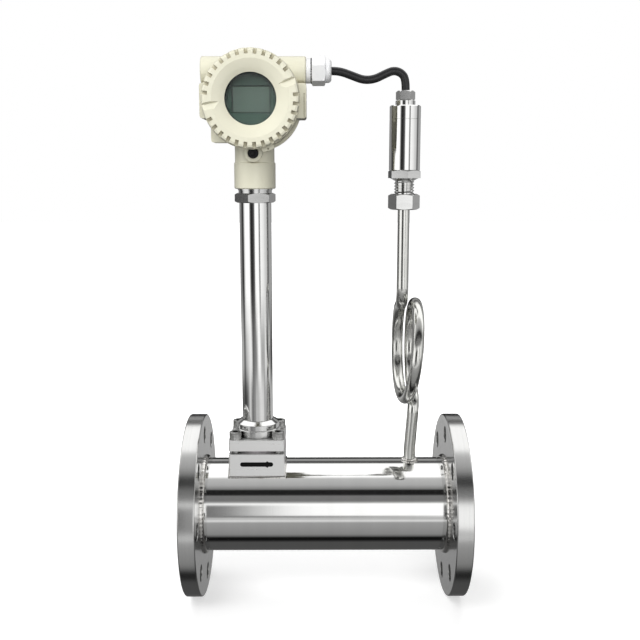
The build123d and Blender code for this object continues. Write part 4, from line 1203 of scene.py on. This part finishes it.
# The bands and panels are pairs of degrees and brightness. Bands are level, and their degrees
# count from straight up towards the front. Panels stand upright, and theirs count from the
# front towards the right.
studioSettings = {
    "bands": (
        (-180, 0.08), (-138, 0.08), (-124, 0.20), (-115, 0.30), (-105, 0.48), (-101, 0.02),
        (-79, 0.02), (-76, 0.30), (-66, 0.40), (-60, 0.10), (-50, 0.10), (-45, 1.30),
        (0, 1.30), (6, 0.58), (24, 0.46), (34, 0.24), (37, 0.012), (48, 0.012), (52, 0.20),
        (63, 0.19), (67, 0.40), (71, 1.30), (96, 1.30), (98.5, 0.36), (106, 0.62), (113, 0.84),
        (117, 0.38), (150, 0.27), (156, 0.15), (161, 0.006), (170, 0.006), (180, 0.08),
    ),
    "panels": (
        (-180, 0.30), (-158, 0.36), (-131, 0.27), (-114, 0.09), (-101, 0.02), (-95, 0.10),
        (-91, 0.50), (-83, 1.00), (-72, 1.30), (-46, 1.30), (-41, 0.75), (-36, 0.12),
        (-30, 0.02), (-20, 0.03), (-12, 0.08), (-6, 0.20), (-1, 1.20), (19, 1.30), (25, 0.85),
        (29, 0.16), (33, 0.16), (37, 1.15), (63, 0.95), (72, 0.75), (82, 0.72), (91, 0.52),
        (98, 0.10), (105, 0.12), (114, 0.38), (130, 0.42), (180, 0.30),
    ),
    "lowPanels": (
        (-180, 0.60), (-128, 0.52), (-111, 0.44), (-103, 0.14), (-95, 0.16), (-86, 0.45),
        (-66, 0.72), (-48, 0.98), (-38, 1.05), (-32, 0.60), (-27, 0.12), (-16, 0.20),
        (0, 0.27), (6, 0.55), (14, 1.10), (25, 1.20), (32, 0.80), (38, 0.42), (57, 0.44),
        (64, 0.60), (72, 1.05), (78, 0.80), (83, 0.08), (96, 0.06), (102, 0.80), (109, 0.85),
        (116, 0.28), (132, 0.06), (150, 0.10), (180, 0.30),
    ),
    "footPanels": (
        (-180, 0.55), (-150, 0.50), (-143, 0.03), (-136, 0.03), (-128, 0.17), (-112, 0.09),
        (-101, 0.05), (-88, 0.06), (-78, 0.10), (-66, 0.26), (-60, 0.42), (-55, 0.78),
        (-44, 0.50), (-38, 0.25), (-33, 0.13), (-24, 0.27), (-13, 0.30), (-6, 0.58), (10, 0.55),
        (29, 0.82), (46, 0.80), (53, 0.62), (57, 0.38), (70, 0.48), (76, 0.24), (80, 0.02),
        (84, 0.04), (92, 0.13), (107, 0.40), (118, 0.50), (150, 0.50), (180, 0.55),
    ),
    "lowPanelsFrom": (-14.5, -12.5),  # degrees up, over which one row takes over from the last
    "panelsFrom": (-12, -7),
    "panelsRise": (-22, -16),  # degrees up, over which panels take over from bands
    "panelsFall": (12, 22),
    "panelsEnd": (150, 165),  # degrees to the side, over which bands take over again
    "softFrom": (-0.30, -0.80, 0.42),
    "softDark": 0.03,
    "softLight": 0.85,
}


def addRamp(tree, value, stops):
    node = addNode(tree, "ValToRGB", {"Fac": value})
    elements = node.color_ramp.elements
    top = max(level for _, level in stops)
    while len(elements) < len(stops):
        elements.new(1.0)
    for element, (angle, level) in zip(elements, stops):
        element.position = (angle + 180) / 360
        shade = level / top
        element.color = (shade, shade, shade, 1)
    return calc(tree, "MULTIPLY", node.outputs["Color"], top)


def crossOver(tree, share, first, second):
    difference = calc(tree, "SUBTRACT", second, first)
    return calc(tree, "MULTIPLY_ADD", difference, share, first)


def makeStudio(settings):
    world = bpy.data.worlds.new("studio")
    bpy.context.scene.world = world
    world.use_nodes = True
    tree = world.node_tree
    tree.nodes.clear()
    direction = addNode(tree, "TexCoord").outputs["Generated"]
    parts = addNode(tree, "SeparateXYZ", {"Vector": direction})
    x, y, z = (parts.outputs[name] for name in "XYZ")
    towards = calc(tree, "MULTIPLY", y, -1.0)
    turn = calc(tree, "MULTIPLY_ADD", calc(tree, "ARCTAN2", towards, z), 1 / tau, 0.5)
    side = calc(tree, "MULTIPLY_ADD", calc(tree, "ARCTAN2", x, towards), 1 / tau, 0.5)
    height = calc(tree, "MULTIPLY", calc(tree, "ARCSINE", z), degrees(1))
    sideways = calc(tree, "ABSOLUTE", calc(tree, "MULTIPLY_ADD", side, 360.0, -180.0))
    bands = addRamp(tree, turn, settings["bands"])
    # low pieces mirror directions further down than high ones
    panels = addRamp(tree, side, settings["footPanels"])
    for name in ("lowPanels", "panels"):
        upper = addRamp(tree, side, settings[name])
        share = smoothStep(tree, height, *settings[name + "From"])
        panels = crossOver(tree, share, panels, upper)
    rise = smoothStep(tree, height, *settings["panelsRise"])
    fall = smoothStep(tree, height, *settings["panelsFall"], 1.0, 0.0)
    end = smoothStep(tree, sideways, *settings["panelsEnd"], 1.0, 0.0)
    share = calc(tree, "MULTIPLY", calc(tree, "MULTIPLY", rise, fall), end)
    pattern = crossOver(tree, share, bands, panels)
    softFrom = Vector(settings["softFrom"]).normalized()
    facing = calcVector(tree, "DOT_PRODUCT", direction, tuple(softFrom))
    soft = smoothStep(tree, facing, 0.0, 1.0, settings["softDark"], settings["softLight"])
    # glossy rays meet the pattern, others the soft light, and the background is white
    ray = addNode(tree, "LightPath")
    seen = calc(tree, "MAXIMUM", ray.outputs["Is Camera Ray"], ray.outputs["Is Transmission Ray"])
    strength = crossOver(tree, ray.outputs["Is Glossy Ray"], soft, pattern)
    strength = calc(tree, "MAXIMUM", strength, seen)
    background = addNode(tree, "Background", {"Color": (1, 1, 1, 1), "Strength": strength})
    addNode(tree, "OutputWorld", {"Surface": background.outputs[0]})


makeStudio(studioSettings)

lampSettings = {
    "key": {"place": (-0.5, -1.2, 1.3), "size": 0.7, "watts": 10.0},
    "fill": {"place": (0.45, -1.6, 0.45), "size": 0.6, "watts": 8.0},
    "top": {"place": (0.15, 0.1, 1.6), "size": 0.8, "watts": 2.3},
    "back": {"place": (-0.5, 1.3, 1.1), "size": 1.0, "watts": 14.0},
    "right": {"place": (0.8, 1.3, 1.7), "size": 0.8, "watts": 8.0},
}
lampTarget = Vector((0.10, 0, 0.30))


def makeLamp(name, settings):
    lampData = bpy.data.lights.new(name, "AREA")
    lampData.size = settings["size"]
    lampData.energy = settings["watts"]
    lamp = bpy.data.objects.new(name, lampData)
    lamp.location = settings["place"]
    towards = lampTarget - Vector(settings["place"])
    lamp.rotation_euler = towards.to_track_quat("-Z", "Y").to_euler()
    lamp.visible_glossy = False
    lamp.visible_camera = False
    bpy.context.collection.objects.link(lamp)


for name, settings in lampSettings.items():
    makeLamp(name, settings)

floorSettings = {
    "place": (0.15, 0, -100.2 * mm),
    "size": 14.0,
    "colour": (0.8, 0.8, 0.8, 1),
    "glow": 0.45,  # brightness added up to near, from where it grows to 1 at far
    "near": 0.20,
    "far": 0.8,
}


def makeFloor(settings):
    deselectAll()
    bpy.ops.mesh.primitive_plane_add(size=settings["size"], location=settings["place"])
    floor = bpy.context.object
    floor.name = "floor"
    material = bpy.data.materials.new("paleFloor")
    material.use_nodes = True
    tree = material.node_tree
    tree.nodes.clear()
    ray = addNode(tree, "LightPath")
    seen = calc(tree, "MAXIMUM", ray.outputs["Is Camera Ray"], ray.outputs["Is Transmission Ray"])
    place = addNode(tree, "TexCoord").outputs["Object"]
    distance = calcVector(tree, "LENGTH", place)
    rise = smoothStep(tree, distance, settings["near"], settings["far"], settings["glow"], 1.0)
    glow = calc(tree, "MULTIPLY", seen, rise)
    matte = addNode(tree, "BsdfDiffuse", {"Color": settings["colour"]})
    lit = addNode(tree, "Emission", {"Strength": glow})
    both = addNode(tree, "AddShader", {0: matte.outputs[0], 1: lit.outputs[0]})
    addNode(tree, "OutputMaterial", {"Surface": both.outputs[0]})
    floor.data.materials.append(material)
    floor.visible_glossy = False
    floor.visible_diffuse = False


makeFloor(floorSettings)
